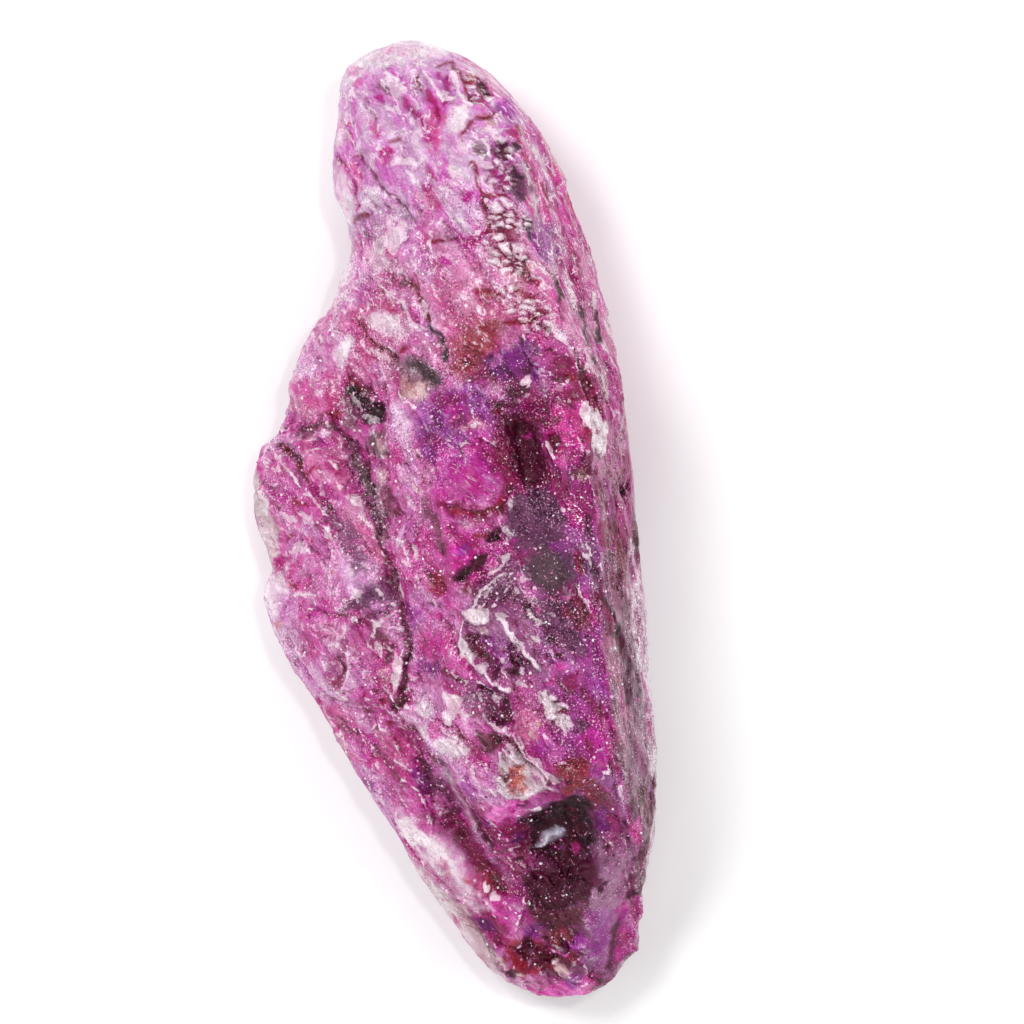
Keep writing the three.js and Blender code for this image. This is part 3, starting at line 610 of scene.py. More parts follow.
smear("crimson", 0.12, 0.9, [(0.4, 0.8), (1.4, 0.45), (2.4, 0.5), (3.1, 0.9)])
smear("rose", 0.3, 0.7, [(1.8, 4.9), (3.0, 4.9)], [(0.9, 0.0), (1.6, -0.2)])
smear("painted_highlight", 0.1, 0.85, [(1.3, 4.2), (1.9, 4.25)], [(0.9, 4.55)], [(6.0, 6.2), (6.3, 6.0)], [(5.9, 4.3),
      (6.6, 4.4)])
area("wine", 0.8, [(3.3, 5.4), (5.4, 5.9), (6.2, 4.6), (6.1, 3.0), (6.3, 1.8), (7.0, 1.2), (5.4, 0.6),
     (3.6, 0.7), (3.2, 2.4)], soft=1.0)
area("plum", 0.95, [(4.0, 5.0), (5.0, 5.2), (5.6, 4.4), (5.7, 3.2), (5.7, 1.9), (5.4, 1.2), (4.3, 1.1),
     (3.8, 2.4)], soft=0.9)
# Painted shade in the pit.
smear("shade_black", 0.35, 0.5, [(4.5, 4.6), (4.9, 4.2)], [(4.6, 3.2), (4.9, 1.9)])
smear("pink", 0.12, 0.95, [(4.7, 4.0), (4.9, 3.85)], [(5.0, 4.05)], edge=0.5)
smear("dust", 0.1, 0.9, [(4.35, 3.9), (4.4, 3.6)])
area("pink", 0.75, [(6.0, 4.9), (7.0, 5.2), (7.9, 4.8), (8.0, 3.2), (7.6, 2.2), (6.6, 1.9), (6.0, 2.6),
     (5.9, 3.8)], soft=0.5)
smear("magenta", 0.3, 0.7, [(7.2, 2.6), (7.6, 2.1)], [(6.6, 3.4)])
smear("crimson", 0.1, 0.85, [(8.0, 5.2), (8.1, 4.4), (8.0, 3.0)], [(9.0, 4.9), (8.3, 4.6)])
area("painted_highlight", 1.0, [(8.0, 4.9), (8.6, 4.8), (9.1, 4.0), (9.1, 2.8), (8.6, 2.4), (8.2, 3.2)], soft=0.2)
smear("brown", 0.25, 0.8, [(7.0, 1.5), (7.6, 1.3)], [(6.6, 4.4)])
smear("sand", 0.2, 0.6, [(7.8, 1.5), (7.4, 1.1)])
area("slate", 0.9, [(2.9, 0.2), (4.0, 1.0), (5.4, 1.0), (6.4, 0.2), (6.4, -1.2), (5.0, -2.0), (3.6, -1.8),
     (3.2, -0.8)])
area("smoke", 0.9, [(4.0, -2.0), (5.6, -2.2), (6.2, -3.2), (5.9, -4.2), (4.6, -4.5), (3.9, -3.6),
     (3.4, -2.8)], soft=0.8)
area("olive", 0.25, [(4.2, -2.4), (5.4, -2.6), (5.7, -3.6), (4.8, -4.0), (4.2, -3.4)], soft=0.4)
area("slate", 0.85, [(3.0, -4.0), (5.8, -4.6), (6.0, -6.2), (5.4, -8.0), (4.2, -7.4), (3.6, -5.8)],
     soft=0.6)
area("slate", 0.7, [(0.3, -3.6), (1.4, -3.0), (2.8, -1.9), (3.6, -2.2), (3.2, -3.6), (2.0, -4.4),
     (0.8, -4.3)])
smear("plum", 0.35, 0.9, [(0.1, -2.8), (1.0, -2.4), (1.8, -1.9)], [(2.0, -0.9), (2.8, -0.6)], [(2.2, -4.3),
      (2.9, -4.0)])
# Painted shade, near black, along the creases.
smear("shade_black", 0.14, 0.95, [(2.2, -0.7), (2.8, -0.9)], [(0.2, -2.7), (0.9, -2.5)], [(2.0, -4.25),
      (2.7, -3.85)])
area("magenta", 0.75, [(0.2, -0.4), (1.6, -0.4), (1.6, -1.4), (0.8, -2.0), (0.2, -1.6)], soft=0.5)
smear("orchid", 0.3, 0.8, [(0.6, -1.6), (0.9, -1.2)])
smear("crimson", 0.2, 0.8, [(1.2, -0.8), (2.0, -0.7)], [(0.4, -3.4)])
smear("pink", 0.12, 0.95, [(1.95, -1.55)])
smear("painted_highlight", 0.3, 0.55, [(2.6, -1.3), (3.4, -1.0)], [(3.0, -0.4), (3.4, -0.9)], [(3.4, 0.2), (3.7, 0.8)],
      [(2.6, -2.2), (3.4, -1.8)])
smear("crimson", 0.14, 0.9, [(2.7, -6.2), (3.0, -6.5)], [(2.6, -5.6)])
smear("pink", 0.1, 0.9, [(5.1, -4.8), (5.8, -4.7)], [(3.8, -5.0)], [(6.2, -3.4), (6.6, -3.0)])
smear("crimson", 0.25, 0.7, [(6.4, -3.6), (6.5, -2.6)], [(6.6, -0.6)])
smear("magenta", 0.35, 0.7, [(6.6, -4.8), (6.7, -6.4)], [(6.4, 0.2), (6.9, -1.0)])
# Painted shade in the small hole on the flank.
smear("shade_black", 0.2, 1.0, [(9.5, 0.2)], edge=0.4)
smear("crimson", 0.2, 0.95, [(9.5, 1.3)], edge=0.5)

# The ribs and windows of the lower middle.
behind_ribs = [(0.2, -3.8), (2.2, -3.0), (3.6, -3.0), (3.8, -6.0), (3.6, -8.4), (1.8, -9.0), (0.2, -7.6),
               (-0.4, -6.0)]
area("dust", 0.55, behind_ribs, soft=0.6)
area("slate", 0.4, behind_ribs, soft=0.6)
smear("painted_highlight", 0.07, 1.0, [(0.7, -4.2), (1.7, -3.4), (2.6, -2.9)], [(1.4, -4.0), (2.2, -3.3)], [(1.7, -2.9),
      (2.6, -2.3)])
area("painted_highlight", 1.0, [(0.1, -4.4), (0.9, -4.4), (1.3, -5.0), (0.8, -5.3), (0.3, -5.1)], soft=0.2)
smear("painted_highlight", 0.22, 0.65, [(1.7, -4.9), (2.3, -5.2)], [(3.3, -4.8), (3.7, -5.6), (4.1, -5.8)],
      [(0.7, -5.6), (1.2, -5.8)])
smear("painted_highlight", 0.17, 0.95, [(3.35, -6.3), (3.85, -6.8)])
area("orchid", 0.6, [(0.6, -6.0), (1.4, -5.8), (2.0, -6.4), (2.6, -7.2), (2.9, -8.0), (1.9, -8.2),
     (1.0, -7.8)])
area("painted_highlight", 1.0, [(-0.1, -5.3), (0.1, -5.6), (-0.1, -6.4), (0.2, -7.1), (0.6, -7.7), (0.2, -7.6),
     (-0.3, -7.0), (-0.5, -6.2)], soft=0.18)
smear("painted_highlight", 0.1, 1.0, [(0.4, -7.6), (0.9, -8.3), (1.4, -8.8), (1.7, -9.2)])
smear("brown", 0.22, 0.9, [(0.25, -5.8), (0.3, -6.5), (0.6, -7.1)])
smear("crimson", 0.12, 0.9, [(0.6, -7.0), (0.8, -7.3)], [(1.6, -6.9)])
smear("sand", 0.25, 0.75, [(0.8, -5.6), (1.1, -5.9)])
smear("painted_highlight", 0.08, 1.0, [(1.9, -5.2), (2.1, -5.8), (2.6, -6.6), (3.0, -7.1), (3.3, -7.8), (3.3, -8.3)])
smear("painted_highlight", 0.15, 0.95, [(3.1, -7.5), (3.25, -8.1)], [(2.1, -8.8), (2.6, -9.1)])
smear("plum", 0.22, 0.9, [(2.1, -7.4), (2.5, -8.2)], [(1.7, -8.1), (2.4, -8.5)], [(1.2, -8.1)])
smear("pink", 0.3, 0.85, [(4.3, -8.3), (4.5, -8.0)], [(3.9, -8.9)])
area("slate", 0.55, [(-0.6, -8.4), (0.4, -8.1), (1.2, -8.8), (1.6, -9.6), (1.4, -10.4), (0.8, -11.0),
     (0.2, -10.4), (-0.4, -10.2), (-0.9, -9.4)])
smear("plum", 0.2, 0.9, [(0.6, -9.9), (1.1, -10.8)], [(0.5, -8.4), (0.6, -9.4)], [(1.4, -9.4),
      (1.3, -10.2)])
smear("painted_highlight", 0.16, 0.95, [(0.0, -9.0), (0.3, -9.7)], [(0.8, -9.0), (1.0, -9.6)])
smear("dust", 0.3, 0.7, [(0.4, -9.0), (0.8, -10.2)], [(-0.3, -9.2)])
smear("painted_highlight", 0.07, 0.9, [(0.1, -10.1), (0.7, -10.6), (0.9, -11.2)], [(-0.8, -8.5), (-0.2, -8.2)])
area("painted_highlight", 0.75, [(-1.8, -8.7), (-1.2, -8.6), (-0.9, -9.2), (-1.2, -10.1), (-1.9, -10.3), (-2.2, -9.6)])
area("painted_highlight", 0.5, [(-1.2, -9.4), (-0.4, -9.8), (-0.6, -10.6), (-1.6, -10.6)])
smear("pink", 0.12, 0.95, [(-0.9, -8.65), (-0.7, -8.8)])
area("painted_highlight", 0.85, [(3.0, -9.2), (3.5, -9.3), (3.8, -9.9), (4.4, -10.4), (4.6, -10.9), (4.2, -11.6),
     (3.9, -11.2), (3.4, -10.2)], soft=0.25)
smear("olive", 0.08, 0.9, [(3.6, -9.4), (3.9, -9.8), (4.1, -10.2)], [(3.9, -10.5), (4.3, -10.8)],
      [(3.2, -9.3), (3.3, -9.7)])
area("brown", 0.85, [(-0.4, -10.6), (0.8, -11.2), (1.1, -11.8), (0.4, -12.2), (-0.4, -11.8)])
area("rose", 0.85, [(1.7, -10.2), (2.6, -9.8), (3.1, -10.6), (2.9, -11.6), (2.2, -12.0), (1.6, -11.2)])
smear("sand", 0.2, 0.85, [(2.6, -11.6), (2.4, -11.2)], [(2.9, -10.9)])
area("lilac", 0.8, [(-1.5, -12.2), (-0.9, -12.8), (-0.2, -14.0), (-0.2, -14.7), (-0.9, -14.2),
     (-1.6, -13.0), (-2.3, -12.0)])
area("pearl_sheen", 0.55, [(-2.6, -10.9), (-1.2, -10.7), (-0.8, -11.7), (-1.5, -12.3), (-2.4, -11.9)])
area("painted_highlight", 0.65, [(-2.4, -11.2), (-1.2, -10.9), (-0.9, -11.7), (-1.5, -12.2), (-2.3, -11.8)])
smear("painted_highlight", 0.1, 0.85, [(-0.9, -12.6), (-0.4, -13.6), (0.1, -14.4)])
area("bone", 0.85, [(0.3, -13.0), (0.9, -12.2), (1.5, -12.6), (1.9, -13.4), (2.4, -14.2), (3.0, -14.5),
     (2.2, -14.6), (1.4, -14.9), (0.6, -14.7), (0.2, -14.0)], soft=0.2)
smear("painted_highlight", 0.12, 1.0, [(0.3, -14.3), (0.9, -14.75), (1.6, -14.7), (2.3, -14.4), (2.8, -14.4)],
      [(1.0, -12.3), (1.5, -12.8), (1.9, -13.6)])
area("ochre", 0.9, [(0.8, -13.0), (1.4, -13.1), (1.6, -13.9), (1.2, -14.4), (0.8, -14.1), (0.7, -13.4)],
     soft=0.2)
smear("rust", 0.16, 0.8, [(0.9, -13.2), (1.0, -13.9)])
smear("brown", 0.08, 1.0, [(1.4, -11.6), (1.9, -12.6), (2.5, -13.5), (3.0, -14.3)], [(1.6, -12.2),
      (2.2, -13.3)])
smear("painted_highlight", 0.06, 1.0, [(1.2, -11.9), (1.7, -12.9), (2.3, -13.8), (2.9, -14.5)], [(1.7, -11.5),
      (2.2, -12.6), (2.9, -13.6), (3.4, -14.2)])
area("crimson", 0.85, [(3.3, -13.2), (4.4, -12.9), (5.2, -13.2), (5.0, -14.2), (4.2, -14.6), (3.4, -14.2)],
     soft=0.5)
smear("sand", 0.1, 0.9, [(4.1, -13.5)], [(3.7, -13.9)])
area("magenta", 0.7, [(4.6, -12.0), (6.4, -11.0), (6.8, -12.4), (6.2, -14.4), (5.4, -13.4)], soft=0.6)
area("orchid", 0.6, [(5.6, -8.8), (6.8, -8.8), (6.8, -10.2), (5.8, -10.4)], [(2.6, -12.0), (3.6, -12.2),
     (3.4, -12.8), (2.6, -12.8)], soft=0.5)
smear("slate", 0.4, 0.8, [(4.7, -11.4), (5.2, -11.6)], [(5.6, -6.6), (5.8, -7.8)])
smear("wine", 0.3, 0.8, [(6.0, -4.6), (6.4, -6.2)], [(5.4, -9.8), (6.0, -10.6)], [(5.6, -12.8),
      (5.2, -12.2)], [(5.4, -5.2), (6.0, -6.4)], [(4.7, -9.4), (5.2, -8.6)])

# The left edge and the trough.
area("pink", 0.85, [(-8.6, -8.6), (-7.2, -8.6), (-5.6, -10.0), (-5.8, -12.0), (-7.6, -11.8)], soft=0.6)
area("rose", 0.6, [(-8.6, -8.4), (-7.6, -8.6), (-6.4, -10.6), (-6.6, -12.0), (-7.6, -11.4)], [(-5.6, -9.8),
     (-4.8, -10.2), (-3.8, -12.0), (-4.6, -12.6), (-5.8, -11.0)], soft=0.5)
area("lilac", 0.75, [(-7.6, -11.4), (-6.4, -12.2), (-5.4, -14.0), (-5.4, -15.0), (-6.4, -14.6)], soft=0.4)
smear("magenta", 0.5, 0.6, [(-7.2, -9.6), (-6.6, -11.2)])
smear("wine", 0.22, 0.65, [(-7.6, -9.0), (-6.9, -10.1)], [(-6.4, -10.4), (-5.4, -12.0), (-4.7, -13.4)],
      [(-4.4, -10.4), (-3.4, -11.9)])
smear("magenta", 0.3, 0.7, [(-6.4, -9.4), (-5.8, -11.0)], [(-8.2, -9.6), (-7.8, -11.2)], [(-4.2, -14.0),
      (-3.8, -14.6)], [(-7.0, -13.0)])
smear("violet", 0.4, 0.65, [(-4.0, -12.6), (-3.4, -13.8)], [(-6.9, -12.9), (-6.3, -13.3)])
smear("crimson", 0.17, 1.0, [(-4.85, -9.85)], [(-2.85, -12.1)], edge=0.5)
smear("painted_highlight", 0.1, 1.0, [(-3.45, -12.4), (-3.35, -12.55)], edge=0.5)
smear("plum", 0.3, 0.7, [(-3.6, -12.0), (-2.9, -13.6), (-2.3, -15.2)])
area("plum", 0.35, [(-3.6, -14.6), (-2.2, -15.6), (-1.2, -17.4), (-0.6, -18.6), (-2.0, -18.0)], soft=0.6)
area("brown", 0.9, [(-3.9, -15.0), (-3.0, -15.4), (-2.0, -16.4), (-1.2, -17.8), (-0.2, -19.2),
     (-0.8, -19.7), (-1.8, -18.6), (-2.4, -17.2), (-3.2, -16.0)], soft=0.9)
area("dust", 1.0, [(-3.0, -12.2), (-2.5, -12.2), (-2.0, -13.4), (-1.75, -14.6), (-1.65, -15.4),
     (-1.3, -16.2), (-0.9, -17.4), (-1.1, -17.6), (-1.7, -16.4), (-2.1, -15.2), (-2.5, -13.8)], soft=0.15)
smear("pearl_sheen", 0.12, 0.6, [(-2.6, -12.6), (-2.2, -13.8), (-1.9, -15.0), (-1.4, -16.4)])
smear("plum", 0.08, 0.95, [(-1.75, -13.4), (-1.6, -14.6), (-1.5, -15.4), (-1.1, -16.4), (-0.85, -17.4)])
smear("dust", 0.2, 0.8, [(-0.9, -17.8), (-0.4, -18.6), (0.0, -19.2)])
area("brown", 0.55, [(-1.5, -13.6), (-0.8, -14.2), (-0.3, -16.0), (0.2, -18.6), (-0.5, -18.2),
     (-1.2, -16.0)], soft=0.5)
smear("orchid", 0.3, 0.7, [(-1.2, -13.2), (-0.9, -14.4)], [(-0.6, -16.0)])
area("pearl_sheen", 0.85, [(-5.4, -14.6), (-4.7, -15.0), (-3.6, -16.4), (-2.8, -17.0), (-2.4, -18.4),
     (-1.6, -19.6), (-1.2, -20.5), (-2.2, -20.7), (-3.2, -19.0), (-4.0, -17.4), (-5.0, -16.2)], soft=0.9)
area("painted_highlight", 0.9, [(-5.4, -14.7), (-4.6, -14.9), (-3.6, -16.6), (-4.4, -16.9), (-5.1, -15.9)], soft=0.4)
smear("wine", 0.3, 0.6, [(-2.2, -16.8), (-1.6, -18.0)])
smear("rose", 0.3, 0.7, [(-3.4, -17.8)], [(-2.0, -18.6), (-1.4, -19.6)])
smear("painted_highlight", 0.25, 0.6, [(-3.8, -16.6)])
smear("ochre", 0.15, 0.6, [(-3.4, -18.2)], [(-2.2, -19.0)])
area("rust", 0.8, [(-1.8, -18.3), (-1.2, -18.4), (-0.3, -19.6), (-0.8, -20.0), (-1.6, -19.6)], soft=0.8)
smear("magenta", 0.14, 0.9, [(-5.6, -15.3), (-5.0, -16.5), (-4.2, -17.6), (-3.9, -18.5), (-3.3, -19.7)])
area("bone", 0.9, [(-5.9, -16.8), (-5.0, -17.5), (-4.2, -18.2), (-3.5, -19.3), (-2.6, -20.6), (-1.9, -22.0),
     (-1.3, -23.0), (-0.9, -24.2), (-1.4, -25.6), (-3.4, -23.6), (-4.8, -20.6)], soft=0.15)
smear("rose", 0.5, 0.6, [(-4.6, -18.4)], [(-3.4, -20.8), (-3.2, -21.4)], [(-2.4, -23.6)], [(-1.6, -24.8)])
smear("olive", 0.12, 0.7, [(-2.5, -20.9), (-2.1, -22.0), (-1.7, -22.8)], [(-3.2, -19.8)])
smear("magenta", 0.16, 0.85, [(-0.4, -15.4), (-0.7, -15.7)], [(-3.3, -20.9)])
area("pink", 0.9, [(-0.4, -15.1), (0.8, -14.9), (2.0, -14.9), (1.4, -15.6), (0.8, -16.2), (-0.2, -16.0)])
area("lilac", 0.5, [(-0.6, -14.9), (2.2, -14.8), (1.4, -15.9), (-0.2, -16.1)])
area("fuchsia", 0.8, [(-0.4, -14.9), (2.2, -14.8), (1.4, -15.9), (-0.2, -16.1)], soft=0.6)

# The deep hollow and the broken floor of the tip.
area("wine", 0.85, [(0.0, -16.4), (1.4, -16.0), (1.2, -18.2), (0.6, -19.4), (0.0, -18.0)], [(4.4, -14.6),
     (5.6, -14.4), (6.0, -15.6), (5.8, -17.4), (5.0, -17.4), (4.8, -15.6)], soft=0.6)
smear("violet", 0.4, 0.8, [(5.4, -16.0), (5.3, -17.6)], [(0.6, -17.0)])
# Painted shade: near black over the floor of the deep hollow.
area("shade_black", 1.0, [(1.3, -16.0), (2.3, -15.6), (3.0, -15.4), (4.2, -14.8), (4.8, -15.4), (4.9, -17.2),
     (4.4, -18.4), (3.4, -18.6), (2.2, -18.6), (1.5, -17.6)], soft=0.6)
smear("crimson", 0.18, 0.9, [(3.4, -14.9), (4.4, -14.4), (5.2, -14.2)], [(4.0, -15.8)], [(4.8, -14.8),
      (5.0, -15.4)])
area("plum", 0.95, [(1.0, -18.6), (4.4, -18.4), (4.6, -19.6), (4.0, -21.2), (2.4, -21.4), (0.8, -20.4),
     (0.4, -19.4)], soft=0.5)
area("brown", 0.8, [(0.2, -20.2), (2.4, -21.2), (3.8, -21.2), (3.4, -22.4), (1.6, -22.2), (0.4, -21.2)],
     soft=0.5)
area("rust", 0.75, [(1.0, -22.0), (2.6, -22.2), (3.0, -23.0), (1.8, -22.8)], soft=0.4)
area("magenta", 0.8, [(-2.2, -20.8), (-1.0, -20.5), (-0.4, -21.2), (-0.6, -22.6), (-1.3, -22.9),
     (-1.8, -21.9)], soft=0.3)
area("wine", 0.8, [(-2.1, -20.8), (-0.7, -20.7), (-0.7, -22.4), (-1.4, -22.6)], soft=0.5)
smear("violet", 0.4, 0.8, [(-1.9, -21.1), (-1.4, -21.8)], [(0.4, -21.8), (0.9, -22.4)])
area("crimson", 0.95, [(-1.2, -22.6), (-0.2, -22.2), (0.9, -22.6), (1.4, -23.2), (2.6, -23.8), (2.6, -24.4),
     (1.0, -24.6), (-0.8, -24.4), (-1.1, -23.4)], soft=0.35)
area("plum", 0.75, [(-0.6, -22.6), (1.8, -23.0), (2.6, -24.0), (0.0, -24.2)], soft=0.5)
smear("plum", 0.3, 0.9, [(0.3, -22.4), (0.7, -23.2)], [(-0.8, -24.1), (-0.2, -24.2)], [(1.0, -23.9),
      (2.4, -24.3)])
smear("dust", 0.14, 0.9, [(0.0, -22.8)], [(0.6, -23.2)], [(0.3, -23.6)])
smear("sand", 0.13, 0.95, [(-0.4, -24.3), (0.0, -24.3)], [(1.5, -24.4), (2.2, -24.7)], [(1.6, -24.1)])
smear("pink", 0.13, 0.9, [(1.4, -23.2), (2.3, -23.8)])
area("pink", 0.7, [(-1.2, -25.0), (0.6, -25.1), (2.4, -25.0), (3.6, -25.2), (3.4, -26.4), (-1.0, -26.4)])
area("fuchsia", 0.6, [(-0.8, -25.2), (1.0, -25.3), (3.2, -25.3), (3.0, -26.4), (-0.6, -26.4)], soft=0.5)
smear("orchid", 0.4, 0.85, [(2.0, -25.2), (2.6, -25.1)], [(2.9, -23.6), (3.1, -22.8)])
smear("plum", 0.12, 0.85, [(3.2, -25.3), (3.9, -25.5)], [(0.4, -25.3)])
area("dust", 0.85, [(6.3, -17.9), (5.6, -18.5), (5.0, -19.2), (4.5, -20.0), (4.1, -21.0), (3.7, -22.0),
     (3.4, -23.2), (3.0, -24.2), (2.9, -25.0), (4.2, -25.0), (4.7, -23.4), (5.3, -22.0), (6.0, -20.9),
     (6.4, -19.5), (7.2, -17.8)], soft=0.15)
area("orchid", 0.7, [(3.9, -21.6), (5.2, -21.6), (4.6, -23.6), (3.8, -24.8), (3.0, -24.8), (3.4, -23.2)],
     soft=0.8)
right_lobe = [(5.3, -22.0), (6.0, -20.9), (7.4, -20.6), (7.2, -22.4), (6.2, -24.2), (5.0, -24.4)]
area("magenta", 1.0, right_lobe, soft=0.2)
area("orchid", 0.2, [*right_lobe, (4.9, -23.2)], soft=0.2)
smear("plum", 0.1, 0.9, [(5.9, -21.1), (6.7, -20.6)], [(5.3, -22.2), (4.9, -23.2), (4.4, -24.8)])
# Painted glint in the hollow.
smear("painted_glint", 0.2, 1.0, [(1.8, -17.5), (2.4, -17.3), (3.0, -17.05)], edge=0.5)
smear("violet", 0.15, 0.9, [(2.4, -17.9), (2.9, -17.8)])
smear("pink", 0.14, 1.0, [(3.2, -17.8), (3.6, -18.2)], [(3.7, -18.0)], edge=0.6)

# The steep flank.
smear("olive", 0.4, 0.5, [(7.0, -2.0), (7.1, -5.0), (7.4, -8.0), (7.6, -11.0), (7.3, -14.0), (7.0, -16.5)])
smear("olive", 0.6, 0.7, [(8.0, -3.0), (8.2, -8.0), (8.0, -12.0), (7.7, -15.0)])
smear("dust", 0.5, 0.6, [(7.8, -3.0), (8.0, -8.0), (7.8, -12.0), (7.5, -15.0)])
smear("smoke", 0.25, 0.4, [(8.2, -9.6), (8.1, -12.4)], [(7.0, -3.0), (7.4, -4.4)])
smear("wine", 0.2, 0.8, [(8.0, 2.0), (8.3, -0.6)])
smear("rose", 0.25, 0.5, [(7.1, -7.0), (7.4, -9.6), (7.2, -13.0)])
smear("wine", 0.26, 0.9, [(7.1, -4.6), (7.5, -6.4), (7.9, -8.4)], [(7.9, -1.0), (7.9, -2.4)], [(8.5, -3.0),
      (8.7, -4.6)])
smear("plum", 0.15, 0.9, [(7.2, -4.4), (7.6, -6.0), (7.9, -7.6), (8.0, -9.0), (7.7, -11.0)], [(8.9, 11.0),
      (8.8, 9.6), (8.9, 7.0)], [(7.9, 11.6), (7.8, 10.4)], [(7.2, -0.8), (7.3, -2.2)], [(9.6, 10.0),
      (9.6, 7.5)])
smear("wine", 0.35, 0.8, [(8.4, -1.4), (8.6, -3.4)], [(8.3, 17.2), (8.5, 15.6)], [(9.2, 13.2), (9.2, 12.0)])
smear("pink", 0.3, 0.85, [(9.3, 13.8), (9.4, 11.0)], [(6.8, -18.0), (7.3, -17.0)], [(8.4, 17.6),
      (8.7, 15.2)])
smear("magenta", 0.35, 0.95, [(9.4, 8.2), (9.7, 5.4)], [(8.8, 12.8), (9.0, 10.4)])
smear("wine", 0.3, 0.45, [(7.9, -3.4), (8.2, -6.4)])
# Painted reflection along the flank's rim.
smear("pearl_sheen", 0.3, 0.85, [(9.3, -2.5), (9.2, -5.0), (8.95, -8.0), (8.65, -12.0), (8.3, -15.0)])
smear("magenta", 0.1, 0.8, [(9.1, -3.0), (9.05, -5.0)], [(8.75, -9.4), (8.4, -13.0)])
smear("painted_highlight", 0.1, 0.75, [(7.9, 19.4), (7.9, 18.4), (8.2, 17.2)], [(8.6, 17.0), (9.0, 15.6)], [(7.4, 9.0),
      (8.1, 7.7), (8.7, 6.6), (9.3, 5.4), (9.8, 3.9)], [(8.0, 12.5), (8.1, 10.5), (8.2, 9.0)], [(8.5, 12.0),
      (8.5, 10.0)])
smear("painted_highlight", 0.3, 0.4, [(7.2, -4.6), (7.4, -8.0)], [(7.2, -13.0), (7.2, -16.0)], [(7.2, 0.6),
      (7.8, -1.0)])

# ---- The stone: clefts, ribs and ledges ----------------------------------------------------------------
# Where it parted or was worn, the crystal is cut by creases and carries sharp ribs and small steps.
lift = np.zeros(vertex_count)
crease_shade_and_streaks = np.zeros(vertex_count)
patchy = perlin(place, 1.0, 83.0)


def crease(half, depth, *lines, dark=1.0):
    """Valleys with a sharp bottom between rounded sides, and painted shade in the bottom."""
    for line in lines:
        near, gap, _ = along(line, 3.5 * half)
        lift[near] -= depth * np.exp(-gap / half) * upper[near]
        thread = dark * np.clip(0.5 + (0.07 - gap) / 0.32, 0, 1) * (0.85 + 0.6 * patchy[near])
        crease_shade_and_streaks[near] = np.maximum(crease_shade_and_streaks[near], thread * upper[near])


def hollow(half, depth, *lines):
    for line in lines:
        near, gap, _ = along(line, 2.5 * half)
        lift[near] -= depth * np.exp(-(gap / half) ** 2) * upper[near]


def rib(half, height, *lines):
    """Crests with a sharp top."""
    for line in lines:
        near, gap, _ = along(line, 4 * half)
        lift[near] += height * np.exp(-gap / half) * upper[near]


def ledge(half, height, *lines):
    """Steps: the crystal to the left of the line stands above the crystal to its right."""
    for line in lines:
        near, gap, side = along(line, 3.5 * half)
        lift[near] += 0.5 * height * side * np.tanh(gap / 0.15) * np.exp(-(gap / half) ** 2) * upper[near]


# Head and shelf.
rib(0.6, 0.12, [(-1.7, 23.8), (-0.6, 24.3), (0.8, 24.5), (2.0, 24.5), (3.2, 24.2)])
crease(0.4, 0.08, [(0.1, 23.9), (1.2, 22.9), (2.1, 21.9), (2.6, 20.7)], [(3.9, 23.6), (3.7, 22.0)],
       [(-0.3, 23.2), (0.0, 22.1)], [(2.5, 23.8), (2.9, 22.2), (3.2, 21.2)])
crease(0.35, 0.09, [(-2.6, 20.6), (-2.2, 19.6), (-1.9, 18.6), (-1.7, 17.7)], [(4.3, 20.0), (5.0, 20.6),
       (6.0, 21.05)])
crease(0.35, 0.12, [(-1.3, 20.4), (-0.3, 18.8), (0.0, 18.1), (0.5, 17.5), (1.1, 16.2)], [(4.6, 18.2),
       (4.8, 17.4), (4.8, 16.2), (4.9, 14.8)], [(2.0, 15.0), (3.3, 14.9), (4.2, 14.6), (4.8, 14.9)])
rib(0.2, 0.14, [(3.0, 24.0), (3.2, 22.8), (3.6, 22.0)], [(4.3, 23.7), (4.5, 22.5), (4.9, 21.6),
    (4.6, 20.7)], [(5.3, 19.0), (5.5, 19.8), (6.3, 20.0), (6.9, 19.6)])
hollow(0.4, 0.25, [(6.0, 22.9), (5.8, 22.2)], [(6.4, 19.2), (5.9, 19.0)])
ledge(0.5, 0.22, [(6.1, 21.2), (5.2, 21.6), (4.9, 21.8)], [(6.5, 16.0), (5.8, 16.5), (4.9, 16.7)])

# Below the head.
rib(0.2, 0.15, [(-1.5, 13.6), (-0.5, 12.0), (0.0, 10.9), (0.9, 10.0)], [(-2.5, 10.1), (-1.7, 8.9),
    (-1.1, 8.5)], [(-1.3, 7.7), (-0.9, 6.8), (-0.5, 6.2)])
crease(0.2, 0.13, [(0.1, 13.4), (0.5, 12.4), (0.9, 11.4), (1.0, 10.8)], [(-2.9, 11.5), (-1.9, 10.0),
       (-1.3, 9.2)])
rib(0.4, 0.2, [(7.2, 9.2), (8.0, 8.0), (9.0, 6.0), (9.8, 3.9)])

